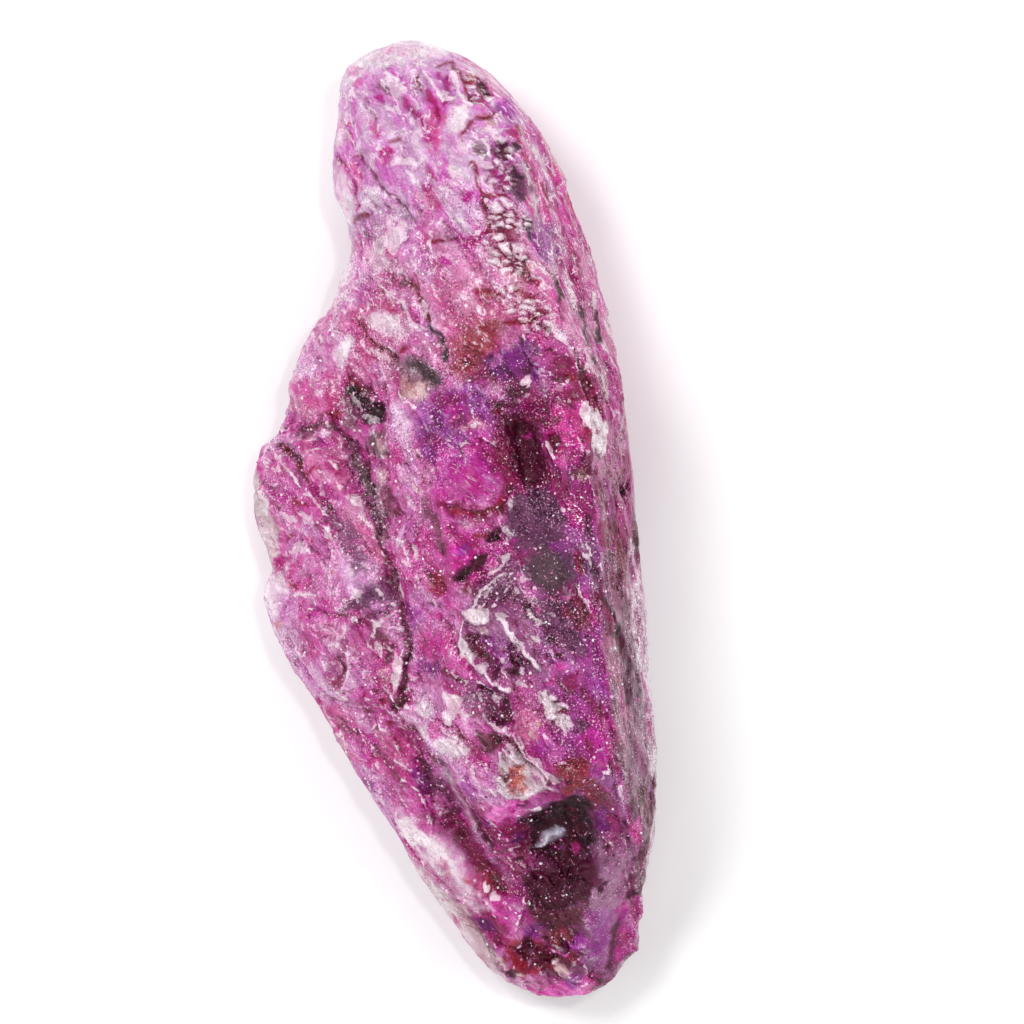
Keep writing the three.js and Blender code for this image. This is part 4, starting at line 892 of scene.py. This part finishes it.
# Lobes and main cleft.
crease(0.6, 0.26, [(-3.6, 8.9), (-3.0, 7.6), (-2.5, 6.8)], [(-7.9, 5.8), (-7.2, 4.2), (-6.6, 3.0),
       (-5.9, 2.0)], [(-6.9, 6.5), (-5.6, 6.5), (-4.7, 5.8), (-4.1, 4.8)])
hollow(0.8, 0.18, [(-3.4, 7.6), (-2.7, 6.3)], [(-4.1, 5.2), (-4.3, 3.6), (-3.8, 2.0)])
crease(0.22, 0.14, [(-3.3, 5.2), (-3.7, 3.4), (-3.5, 1.4), (-3.2, -0.6), (-3.05, -3.2), (-3.1, -6.0),
       (-3.7, -8.2), (-4.4, -9.2)])
rib(0.24, 0.14, [(-8.3, 5.9), (-7.7, 4.3), (-7.1, 2.8), (-6.2, 1.7), (-5.3, 0.4)], [(-4.7, 2.4),
    (-4.2, 1.0), (-3.5, -0.6), (-3.3, -1.2)], [(-9.1, -2.2), (-8.3, -2.3), (-7.4, -2.5)], [(-5.0, -2.3),
    (-6.2, -3.1), (-6.8, -3.3)], [(-6.4, -5.4), (-6.5, -6.4), (-7.0, -7.4)])
rib(0.3, 0.22, [(-3.5, -4.9), (-4.6, -4.6), (-5.0, -5.2)], [(-3.6, -5.9), (-3.7, -6.9), (-4.1, -7.9)])
crease(0.3, 0.18, [(-7.0, -5.9), (-6.8, -6.8)], [(-3.9, -3.9), (-4.9, -4.0), (-5.6, -4.4)])
crease(0.3, 0.1, [(-7.9, -8.1), (-6.4, -8.4), (-5.2, -9.3)], [(-8.3, -3.2), (-7.0, -3.6), (-5.9, -3.9)])

# Middle.
rib(1.4, 0.2, [(1.5, 2.3)])
crease(0.4, 0.14, [(0.4, 1.0), (1.4, 0.5), (2.2, 0.4), (3.2, 0.5), (3.7, 1.4)])
hollow(0.9, 0.12, [(4.7, 4.8), (4.9, 3.0), (4.8, 1.4)])
hollow(0.3, 0.35, [(9.55, 0.3)])
crease(0.4, 0.16, [(2.2, -0.8), (3.0, -0.9)], [(0.2, -2.8), (1.6, -2.6)])
rib(0.14, 0.14, [(0.7, -4.3), (1.9, -3.3), (2.8, -2.7)], [(1.15, -4.5), (2.3, -3.5), (3.0, -3.0)],
    [(1.7, -4.6), (2.8, -3.7)])

# Lower middle.
rib(0.26, 0.3, [(0.1, -5.1), (-0.4, -6.3), (0.2, -7.4), (1.0, -8.4), (1.7, -9.1)], [(1.8, -5.0),
    (2.3, -6.1), (2.9, -6.9), (3.3, -8.0)])
hollow(0.55, 0.28, [(0.6, -5.9), (0.7, -6.8), (1.3, -7.8)], [(2.2, -6.8), (2.6, -7.8)], [(0.3, -8.8),
       (1.0, -9.8), (1.2, -10.6)])
rib(0.16, 0.2, [(1.5, -11.5), (2.0, -12.6), (2.7, -13.6), (3.2, -14.2)], [(0.5, -12.8), (0.9, -12.2),
    (1.5, -12.8)])
crease(0.16, 0.26, [(1.2, -11.6), (1.8, -12.8), (2.5, -13.8)], [(3.9, -9.9), (4.3, -10.6)])
rib(0.35, 0.16, [(-0.8, -12.9), (-0.1, -13.9), (0.8, -14.6), (1.9, -14.5), (2.8, -14.1)])

# Trough, hollow and tip.
crease(0.5, 0.22, [(-4.5, -9.6), (-3.4, -11.2), (-2.6, -12.6)])
crease(0.12, 0.16, [(-1.75, -13.6), (-1.55, -15.2), (-1.0, -16.8), (-0.8, -17.6)])
hollow(0.7, 0.22, [(-3.6, -13.6), (-2.6, -15.6), (-1.4, -18.0), (-0.4, -19.6)])
hollow(0.5, 0.25, [(0.0, -23.0), (1.6, -23.8)])
rib(0.5, 0.15, [(-5.2, -14.6), (-4.6, -16.0), (-3.6, -17.6)])
hollow(1.6, 0.4, [(2.8, -17.4)])
ledge(0.6, -0.12, [(1.3, -15.8), (2.6, -15.2), (3.6, -14.8), (4.8, -14.2)])
rib(0.22, 0.2, [(1.9, -17.6), (2.9, -17.1)])

# The shelf beside the head and the seam below it break into small blocks.
crumbly = np.zeros(vertex_count)
for half, share, line in (
        (0.8, 1.0, [(5.5, 16.0), (5.7, 14.6), (6.0, 12.6)]),
        (0.9, 0.5, [(6.0, 19.4), (5.8, 17.0)]),
        (0.6, 0.5, [(5.4, 23.4), (5.4, 21.6)]),
        (0.7, 0.5, [(5.2, 11.6), (5.8, 10.8), (6.8, 9.4)]),
        (0.6, 0.6, [(3.4, -9.6), (4.3, -11.0)])):
    near, gap, _ = along(line, 2 * half)
    crumbly[near] = np.maximum(crumbly[near], share * np.clip(1.6 - gap / half, 0, 1))
block = np.array([noise.voronoi(p)[0] for p in (bent / (0.75, 0.48, 0.6)).tolist()])
kernel = np.clip((block[:, 1] - block[:, 0]) / 0.45, 0, 1)
lift += crumbly * (0.26 * kernel - 0.13)

direction = outward + (0, 0, 1) * upper[:, None]
direction /= np.linalg.norm(direction, axis=1, keepdims=True)
place = place + 1.8 * lift[:, None] * direction
place[:, 2] = np.where(foot, np.minimum(place[:, 2], 0.4 * np.maximum(place[:, 2], 0)), place[:, 2])
place[:, 2] = np.maximum(0.0, place[:, 2])


def standing(points, rounds):
    """How far each vertex stands out of the skin around it, in millimetres. Hollows are negative."""
    even = points
    for _ in range(rounds):
        even = neighbour_mean(even)
    return np.sum((points - even) * outward, axis=1)


fine = standing(place, 3)
crest = np.clip(fine / 0.035, -1, 1)
ridge = fine / np.percentile(fine[upper > 0.5], 97)
groove = fine / np.percentile(fine[upper > 0.5], 3)
relief = np.clip(standing(place, 40) / 0.20, -1, 1)
small = drawn(0.9, 1.7, 21.0) + 0.6 * perlin(place, 0.4, 6.0)
# Painted shade: wine darkens the deep hollows of the middle and tip.
wash("wine", 0.55 * np.clip(-relief - 0.4, 0, 1) * upper * (1 - head_share) * (1 - on_left))
# Tone shifts in clouds and by facet, plus painted light and shade: paler on broad crests, darker in broad
# hollows.
pales_and_shade = 0.14 * small + 0.07 * facet_tone + 0.12 * relief * (1 - 0.5 * head_share)
tint **= (1 + np.clip(pales_and_shade, -0.5, 0.5) / np.log(tint.mean(axis=1)))[:, None]
strength = 1 - tint.min(axis=1) / tint.max(axis=1)
tint *= 1 - np.outer((1 - 0.8 * head_share) * strength, (0.08, 0.28, 0.18))
grey = tint.mean(axis=1, keepdims=True)
tint = np.maximum(grey + (tint - grey) * (0.74 + 0.38 * strength[:, None]), 0.3 * tint)
lightness = np.clip((tint.mean(axis=1) - 0.04) / 0.10, 0, 1)
purity = (drawn(1.3, 2.0, 71.0) + 0.8 * drawn(0.5, 2.0, 73.0)) * (0.25 + 0.75 * lightness)
purity = np.clip(1 + (0.3 + 1.0 * head_share) * purity, 0.35 + 0.3 * head_share, 2.5)
brightest = tint.max(axis=1, keepdims=True)
tint = brightest * (tint / brightest) ** purity[:, None]
# Painted sheen: how strongly pale reflection patches show, most on the head and left, and more on the
# crests.
painted_sheen = np.clip(0.25 + 0.45 * np.clip((y - 8) / 5, 0, 1) + 0.15 * on_left - 0.3 * right_middle, 0, 1)
painted_sheen = painted_sheen * lightness + 0.15 * crest
# Noise for colour patches, with painted shade in the hollows and painted light on the crests.
patch_and_shade = drawn(0.7, 1.8, 51.0) + 0.35 * relief + 0.35 * crest + 0.10 * facet_tone
gloss = np.clip(0.45 + 1.6 * drawn(1.5, 1.8, 17.0) + 0.6 * painted_highlight + 0.3 * calm, 0, 1) * lightness

neck_share = np.exp(-((y - 11.5) / 3.5) ** 2)
busy = (1 - 0.7 * calm) * (1 - 0.2 * on_left) * (1 - 0.25 * neck_share) * (1 + 0.2 * flank)
grainy = (1 - 0.72 * head_share) * (1 - 0.2 * on_left)
grainy = grainy * (1 + 0.4 * np.maximum(right_middle, flank)) * (1 - 0.3 * calm)
grainy *= 1 - 0.6 * np.clip((0.30 - outward[:, 2]) / 0.25, 0, 1)
grainy *= 0.45 + 1.1 * np.clip(0.5 + 1.6 * drawn(1.6, 1.5, 91.0) - 0.35 * relief, 0, 1)
near_tip = 0.35 * np.clip((-y - 10) / 4, 0, 1)
greyish = 0.6 * np.clip(2.5 - 5 * strength, 0, 1)
grainy *= 1 - (1 - flank) * np.maximum(near_tip, greyish)
streaks = np.abs(drawn(0.8, 7.0, 47.0))
# Painted shade: the seam colour also darkens every small hollow of the skin.
crease_shade_and_streaks = np.maximum(crease_shade_and_streaks, np.clip(0.55 * groove, 0, 0.75) * upper)
crease_shade_and_streaks = np.maximum(crease_shade_and_streaks, flank * np.clip(0.64 - 6 * streaks, 0, 1) * (0.85 + 0.6 * patchy))
dusting = np.clip(0.35 + 0.5 * ragged + 0.6 * drawn(1.8, 1.5, 61.0) - 0.5 * relief, 0, 1)
off_the_ends = np.clip((18 - y) / 10, 0.15, 1) * np.clip((y + 25) / 3, 0.35, 1)
dusting *= upper * off_the_ends * (1 - 0.7 * calm) * (1 - 0.5 * flank)

stone.data.vertices.foreach_set("co", place.ravel())
stone.data.polygons.foreach_set("use_smooth", [True] * len(stone.data.polygons))
stone.data.update()


def paint(name, values):
    """Stores a colour, a vector or a number on every vertex, for the materials to read."""
    kind, field = {1: ("FLOAT", "value"), 3: ("FLOAT_VECTOR", "vector"), 4: ("FLOAT_COLOR", "color")}[
        values.size // vertex_count]
    stone.data.attributes.new(name, kind, "POINT").data.foreach_set(field, np.ravel(values))


paint("tint", np.column_stack([tint, np.ones(vertex_count)]))
paint("flow", bent)
for name, values in {
    "painted_highlight": painted_highlight, "patch_and_shade": patch_and_shade, "crumbly": crumbly, "painted_sheen": painted_sheen, "busy": busy, "grainy": grainy,
    "crease_shade_and_streaks": crease_shade_and_streaks, "crest": crest, "ridge": np.clip(ridge, 0, 2) * upper, "kernel": kernel,
    "lightness": lightness, "dusting": dusting, "gloss": gloss,
}.items():
    paint(name, values)

# The grains are scattered on the full skin. The stone keeps it where it faces up, and is coarser on its
# steep sides and below.
SKIN_TRIANGLES = 197_000
STEEP = 0.12
full_skin = stone.data.copy()
thin(stone, outward[:, 2] < STEEP, min(1.0, SKIN_TRIANGLES / len(stone.data.polygons)))
for mesh in (stone.data, full_skin):
    mesh.transform(Matrix.Scale(MM, 4))

# ---- The stone: its material ---------------------------------------------------------------------------
# Glassy corundum with a broken skin: grains of slightly different colour, painted highlights as threads of
# white along the crests, painted shade from red to black in the hollows, and a gloss that comes and goes.


class Wire:
    """One output of a material's nodes. Arithmetic on wires adds Math nodes."""

    def __init__(self, bench, socket):
        self.bench = bench
        self.socket = socket

    def math(self, operation, *others, clamp=False):
        settings = {"operation": operation, "use_clamp": clamp}
        return self.bench.add("ShaderNodeMath", settings, [self, *others])

    def __add__(self, other):
        return self.math("ADD", other)

    def __mul__(self, other):
        return self.math("MULTIPLY", other)

    def __sub__(self, other):
        return self.math("SUBTRACT", other)

    def __rsub__(self, other):
        return self.bench.add("ShaderNodeMath", {"operation": "SUBTRACT"}, [other, self])

    def __pow__(self, other):
        return self.math("POWER", other)

    __radd__ = __add__
    __rmul__ = __mul__

    def clamped(self):
        return self.math("ADD", 0.0, clamp=True)

    def between(self, low, high):
        """0 at low, 1 at high, smooth in between."""
        return self.bench.add("ShaderNodeMapRange", {"interpolation_type": "SMOOTHSTEP"},
                              {"Value": self, "From Min": low, "From Max": high})


class Bench:
    """The nodes of one material."""

    def __init__(self, material):
        material.use_nodes = True
        self.tree = material.node_tree
        self.shader = self.tree.nodes["Principled BSDF"]

    def add(self, kind, settings=None, sockets=None, out=0):
        """Adds a node: its settings first, then the values or wires of its sockets, by name or in order."""
        node = self.tree.nodes.new(kind)
        for name, value in (settings or {}).items():
            setattr(node, name, value)
        given = sockets.items() if isinstance(sockets, dict) else enumerate(sockets or [])
        for name, value in given:
            self.plug(node.inputs[name], value)
        return Wire(self, node.outputs[out])

    def plug(self, socket, value):
        if isinstance(value, Wire):
            self.tree.links.new(value.socket, socket)
        else:
            socket.default_value = value

    def read(self, name, out="Fac"):
        return self.add("ShaderNodeAttribute", {"attribute_name": name}, out=out)

    def mix(self, factor, first, second, blend="MIX"):
        """Mixes two colours."""
        settings = {"data_type": "RGBA", "blend_type": blend, "clamp_factor": True, "clamp_result": True}
        return self.add("ShaderNodeMix", settings, {0: factor, 6: first, 7: second}, out=2)

    def stretched(self, vector, scale):
        return self.add("ShaderNodeVectorMath", {"operation": "MULTIPLY"}, [vector, scale])

    def noise(self, vector, scale, detail=3.0, rough=0.55, warp=0.0):
        sockets = {"Vector": vector, "Scale": scale, "Detail": detail, "Roughness": rough,
                   "Distortion": warp}
        return self.add("ShaderNodeTexNoise", {}, sockets)


crystal = bpy.data.materials.new("crystal")
look = Bench(crystal)
millimetres = look.stretched(look.add("ShaderNodeTexCoord", out="Object"), (1000, 1000, 1000))
tint_wire = look.read("tint", "Color")
highlight_wire = look.read("painted_highlight")

flow = look.read("flow", "Vector")
busy_wire = look.read("busy")
crest_wire = look.read("crest")
mottle = look.noise(look.stretched(flow, (1, 0.6, 1)), 1.8, 3, 0.62)
sugar = look.noise(millimetres, 10.0, 1, 0.7)
# Darker and paler clouds. Through the patch values they also carry painted shade in the hollows and painted
# light on the crests.
spread = mottle + 0.36 * look.read("patch_and_shade") + 0.12 * sugar
deep = look.add("ShaderNodeGamma", {}, {"Color": tint_wire, "Gamma": 1.3})
pale = look.add("ShaderNodeGamma", {}, {"Color": tint_wire, "Gamma": 0.82})
colour = look.mix(0.7 * busy_wire * spread.between(0.48, 0.40), tint_wire, deep)
colour = look.mix(0.6 * busy_wire * look.read("lightness") * spread.between(0.62, 0.72), colour, pale)

fold = look.noise(look.stretched(flow, (1, 0.4, 1)), 0.75, 2, 0.6)
fold = (2.0 * fold - 1.0).math("ABSOLUTE")
colour = look.mix(0.65 * busy_wire * fold.between(0.040, 0.0), colour, (0.60, 0.14, 0.30, 1), "MULTIPLY")

# Painted sheen: pale milky patches where the glassy skin reflects the light.
moved = look.add("ShaderNodeVectorMath", {"operation": "ADD"},
                 [look.stretched(flow, (1, 0.5, 1)), (9, 4, 2)])
sheen_patches = look.noise(moved, 1.3, 3, 0.58) + 0.35 * look.read("painted_sheen") + 0.12 * sugar
colour = look.mix(0.5 * busy_wire * sheen_patches.between(0.88, 0.96), colour, (0.76, 0.48, 0.64, 1))

# Painted shade: a dark multiply in the creases and small hollows, and dark streaks down the flank.
shade_and_streaks_wire = look.read("crease_shade_and_streaks") + 0.3 * (sugar - 0.5) + 0.3 * (mottle - 0.5)
grainy_wire = look.read("grainy")
colour = look.mix((0.42 + 0.40 * grainy_wire) * shade_and_streaks_wire.between(0.46, 0.60), colour, (0.34, 0.09, 0.17, 1),
                  "MULTIPLY")

crumbly_wire = look.read("crumbly").between(0.2, 0.6)
kernel_wire = look.read("kernel") + 0.5 * (sugar - 0.5)
colour = look.mix(0.8 * crumbly_wire * kernel_wire.between(0.30, 0.15), colour, (0.26, 0.02, 0.08, 1))
colour = look.mix(0.8 * crumbly_wire * kernel_wire.between(0.35, 0.60) * mottle.between(0.36, 0.50), colour,
                  (0.80, 0.60, 0.66, 1))

# Painted highlights: the frost marks turn white, in two steps.
highlight_wire = highlight_wire + 0.25 * (sugar - 0.5) + 0.6 * (mottle - 0.5)
colour = look.mix(0.50 * highlight_wire.between(0.44, 0.56) + 0.42 * highlight_wire.between(0.66, 0.90), colour,
                  (0.88, 0.73, 0.79, 1))
# Painted highlights: thin white crinkle lines where the painted sheen is strong.
crinkle_highlight = look.noise(look.stretched(flow, (1, 0.6, 1)), 1.5, 2, 0.6)
crinkle_highlight = (2.0 * crinkle_highlight - 1.0).math("ABSOLUTE").between(0.11, 0.03) * mottle.between(0.50, 0.58)
colour = look.mix(0.75 * look.read("painted_sheen").between(0.1, 0.7) * crinkle_highlight, colour, (0.86, 0.68, 0.78, 1))
# Painted highlights: white threads on the sharpest crests.
glint = (look.read("ridge") + 0.8 * (sugar - 0.5) + 1.2 * (mottle - 0.5)).between(0.90, 1.15)
colour = look.mix((0.9 - 0.3 * grainy_wire) * look.read("lightness") * glint, colour, (0.86, 0.68, 0.78, 1))

flake = look.add("ShaderNodeTexVoronoi", {},
                 {"Vector": look.stretched(flow, (1, 0.6, 1)), "Scale": 3.4}, out="Color")
away = sugar - 0.5
speckled = grainy_wire * (1.2 * away + 85.0 * away * away * away)
speckled = speckled * (1.0 - 0.7 * highlight_wire.between(0.44, 0.60))
tone = look.add("ShaderNodeSeparateColor", {}, [flake])
shade = 0.98 + 0.34 * busy_wire * (tone - 0.5) + speckled.math("MINIMUM", 0.4).math("MAXIMUM", -0.5)
shading = look.add("ShaderNodeCombineColor", {}, [shade, shade**1.25, shade**1.1])
colour = look.mix(1.0, colour, shading, "MULTIPLY")
# Painted glints: the brightest specks turn white.
sparkle = (speckled - 0.4).clamped() * (0.25 + 0.75 * look.read("lightness"))
colour = look.mix(0.8 * sparkle, colour, (0.92, 0.74, 0.86, 1))
dusty = look.read("dusting").between(0.0, 0.5)
colour = look.mix(0.8 * dusty * sugar.between(0.68, 0.74), colour, (0.90, 0.50, 0.72, 1))
look.plug(look.shader.inputs["Base Color"], colour)

gloss_wire = look.read("gloss")
look.plug(look.shader.inputs["Roughness"], 0.42 - 0.24 * gloss_wire)
look.plug(look.shader.inputs["Coat Weight"], 0.7 * gloss_wire)
look.shader.inputs["Coat Roughness"].default_value = 0.10
look.shader.inputs["IOR"].default_value = 1.36

grooved = 1.1 * sugar + busy_wire * (0.5 * look.read("patch_and_shade") + 0.4 * crest_wire)
grooved = grooved + crumbly_wire * look.read("kernel")
tipped = look.add("ShaderNodeVectorMath", {"operation": "MULTIPLY_ADD"},
                  [flake, (0.5, 0.5, 0.5), look.add("ShaderNodeNewGeometry", out="Normal")])
tipped = look.add("ShaderNodeVectorMath", {"operation": "SUBTRACT"}, [tipped, (0.25, 0.25, 0.25)])
tipped = look.add("ShaderNodeVectorMath", {"operation": "NORMALIZE"}, [tipped])
BUMP_DEPTH = 0.0001
bump = look.add("ShaderNodeBump", {},
                {"Strength": 0.8, "Distance": BUMP_DEPTH, "Height": grooved, "Normal": tipped})
look.plug(look.shader.inputs["Normal"], bump)

stone.data.materials.clear()
stone.data.materials.append(crystal)
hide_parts("rough_stone")
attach(stone, "root")

# ---- Grains on the stone -------------------------------------------------------------------------------
# Crushed corundum and quartz from the mining stick to the skin: angular white and pink grains, thickest in
# the middle, around the hollow and in the creases, and few on the head.
GRAIN_SIZE = 0.11
GRAINS_PER_SQUARE_METRE = 15.0e6
FULL_TURN = 6.28

grains_tree = bpy.data.node_groups.new("scatter_grains", "GeometryNodeTree")


def tree_socket(name, kind, direction="INPUT"):
    return grains_tree.interface.new_socket(name, in_out=direction, socket_type=kind)


tree_socket("Stone", "NodeSocketGeometry")
per_area_in = tree_socket("Grains per square metre", "NodeSocketFloat")
size_in = tree_socket("Grain size", "NodeSocketFloat")
seed_in = tree_socket("Seed", "NodeSocketInt")
finish_in = tree_socket("Finish", "NodeSocketMaterial")
tree_socket("Grains", "NodeSocketGeometry", "OUTPUT")


def step(kind, settings=None, sockets=None):
    """Adds a node to the tree: its settings first, then the values or outputs its sockets take."""
    node = grains_tree.nodes.new(kind)
    for name, value in (settings or {}).items():
        setattr(node, name, value)
    for name, value in (sockets or {}).items():
        if isinstance(value, bpy.types.NodeSocket):
            grains_tree.links.new(value, node.inputs[name])
        else:
            node.inputs[name].default_value = value
    return node


given = step("NodeGroupInput").outputs
how_dusty = step("GeometryNodeInputNamedAttribute", {"data_type": "FLOAT"}, {"Name": "dusting"})
density = step("ShaderNodeMath", {"operation": "MULTIPLY"},
               {0: how_dusty.outputs["Attribute"], 1: given["Grains per square metre"]})
points = step("GeometryNodeDistributePointsOnFaces", {},
              {"Mesh": given["Stone"], "Density": density.outputs[0], "Seed": given["Seed"]})
grain_shape = step("GeometryNodeMeshIcoSphere", {}, {"Radius": 0.5, "Subdivisions": 1})
turn = step("FunctionNodeRandomValue", {"data_type": "FLOAT_VECTOR"},
            {"Max": (FULL_TURN, FULL_TURN, FULL_TURN), "Seed": 2})
draw = step("FunctionNodeRandomValue", {"data_type": "FLOAT"}, {"Seed": 3})
bias = step("ShaderNodeMath", {"operation": "POWER"}, {0: draw.outputs["Value"], 1: 3.0})
spread_size = step("ShaderNodeMath", {"operation": "MULTIPLY_ADD"}, {0: bias.outputs[0], 1: 1.5, 2: 0.55})
flat_sides = step("FunctionNodeRandomValue", {"data_type": "FLOAT_VECTOR"},
                  {"Min": (0.5, 0.5, 0.4), "Max": (1.3, 1.0, 0.9), "Seed": 4})
grain_scale = step("ShaderNodeVectorMath", {"operation": "SCALE"},
                   {0: flat_sides.outputs["Value"], "Scale": spread_size.outputs[0]})
sized = step("ShaderNodeVectorMath", {"operation": "SCALE"},
             {0: grain_scale.outputs[0], "Scale": given["Grain size"]})
placed = step("GeometryNodeInstanceOnPoints", {},
              {"Points": points.outputs["Points"], "Instance": grain_shape.outputs["Mesh"],
               "Rotation": turn.outputs["Value"], "Scale": sized.outputs[0]})
hue = step("FunctionNodeRandomValue", {"data_type": "FLOAT"}, {"Seed": 5})
marked = step("GeometryNodeStoreNamedAttribute", {"data_type": "FLOAT", "domain": "INSTANCE"},
              {"Geometry": placed.outputs["Instances"], "Name": "hue", "Value": hue.outputs["Value"]})
real = step("GeometryNodeRealizeInstances", {}, {"Geometry": marked.outputs["Geometry"]})
finished = step("GeometryNodeSetMaterial", {},
                {"Geometry": real.outputs["Geometry"], "Material": given["Finish"]})
step("NodeGroupOutput", {}, {"Grains": finished.outputs["Geometry"]})

grit = bpy.data.materials.new("grit")
look = Bench(grit)
hue_wire = look.read("hue")
colour = look.mix(hue_wire.between(0.30, 0.60), (0.74, 0.16, 0.44, 1), (0.84, 0.46, 0.66, 1))
colour = look.mix(hue_wire.between(0.70, 0.85), colour, (0.92, 0.84, 0.88, 1))
colour = look.mix(hue_wire.between(0.10, 0.05), colour, (0.20, 0.01, 0.08, 1))
look.plug(look.shader.inputs["Base Color"], colour)
look.shader.inputs["Roughness"].default_value = 0.25
look.shader.inputs["IOR"].default_value = 1.6

grains = bpy.data.objects.new("stuck_grains", full_skin)
bpy.context.scene.collection.objects.link(grains)
scatter = grains.modifiers.new("scatter", "NODES")
scatter.node_group = grains_tree
scatter[per_area_in.identifier] = GRAINS_PER_SQUARE_METRE
scatter[size_in.identifier] = GRAIN_SIZE * MM
scatter[seed_in.identifier] = 7
scatter[finish_in.identifier] = grit
bake_modifiers(grains)
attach(grains, "root")

# ---- The studio ----------------------------------------------------------------------------------------
# A white floor, a white room and one large soft light over the stone's head and left side.
floor_mesh = bpy.data.meshes.new("floor")
half_floor = 1.5
floor_mesh.from_pydata(
    [(-half_floor, -half_floor, 0), (half_floor, -half_floor, 0), (half_floor, half_floor, 0),
     (-half_floor, half_floor, 0)], [], [(0, 1, 2, 3)])
floor = bpy.data.objects.new("floor", floor_mesh)
bpy.context.scene.collection.objects.link(floor)
paper = bpy.data.materials.new("paper")
paper.use_nodes = True
paper.node_tree.nodes["Principled BSDF"].inputs["Base Color"].default_value = (0.96, 0.96, 0.96, 1)
paper.node_tree.nodes["Principled BSDF"].inputs["Roughness"].default_value = 0.8
floor_mesh.materials.append(paper)

world = bpy.data.worlds.new("room")
world.use_nodes = True
world.node_tree.nodes["Background"].inputs["Color"].default_value = (1, 1, 1, 1)
world.node_tree.nodes["Background"].inputs["Strength"].default_value = 0.21
bpy.context.scene.world = world


def soft_light(name, spot, size, watts):
    lamp = bpy.data.lights.new(name, "AREA")
    lamp.shape = "SQUARE"
    lamp.size = size
    lamp.energy = watts
    holder = bpy.data.objects.new(name, lamp)
    holder.location = spot
    aim = -np.array(spot)
    holder.rotation_euler = (math.atan2(math.hypot(aim[0], aim[1]), -aim[2]), 0,
                             math.atan2(aim[0], -aim[1]) + math.pi)
    bpy.context.scene.collection.objects.link(holder)


soft_light("window", (-0.13, 0.15, 0.28), 0.13, 0.60)
soft_light("lamp", (0.09, 0.05, 0.32), 0.03, 0.16)
soft_light("right_wall", (0.34, -0.06, 0.20), 0.26, 0.75)
soft_light("near_wall", (-0.05, -0.34, 0.20), 0.26, 0.42)
soft_light("left_wall", (-0.36, -0.06, 0.22), 0.26, 0.45)
soft_light("far_wall", (0.05, 0.36, 0.22), 0.26, 0.45)

lens = bpy.data.cameras.new("camera")
lens.sensor_width = 36
VIEW_WIDTH = 0.0546
VIEW_HEIGHT = 0.30
lens.lens = lens.sensor_width * VIEW_HEIGHT / VIEW_WIDTH
camera = bpy.data.objects.new("camera", lens)
camera.location = (0.00347, 0.00017, 0.006 + VIEW_HEIGHT)
camera.rotation_euler = (0, 0, math.radians(-10))
bpy.context.scene.collection.objects.link(camera)
bpy.context.scene.camera = camera
bpy.context.scene.view_settings.view_transform = "Standard"
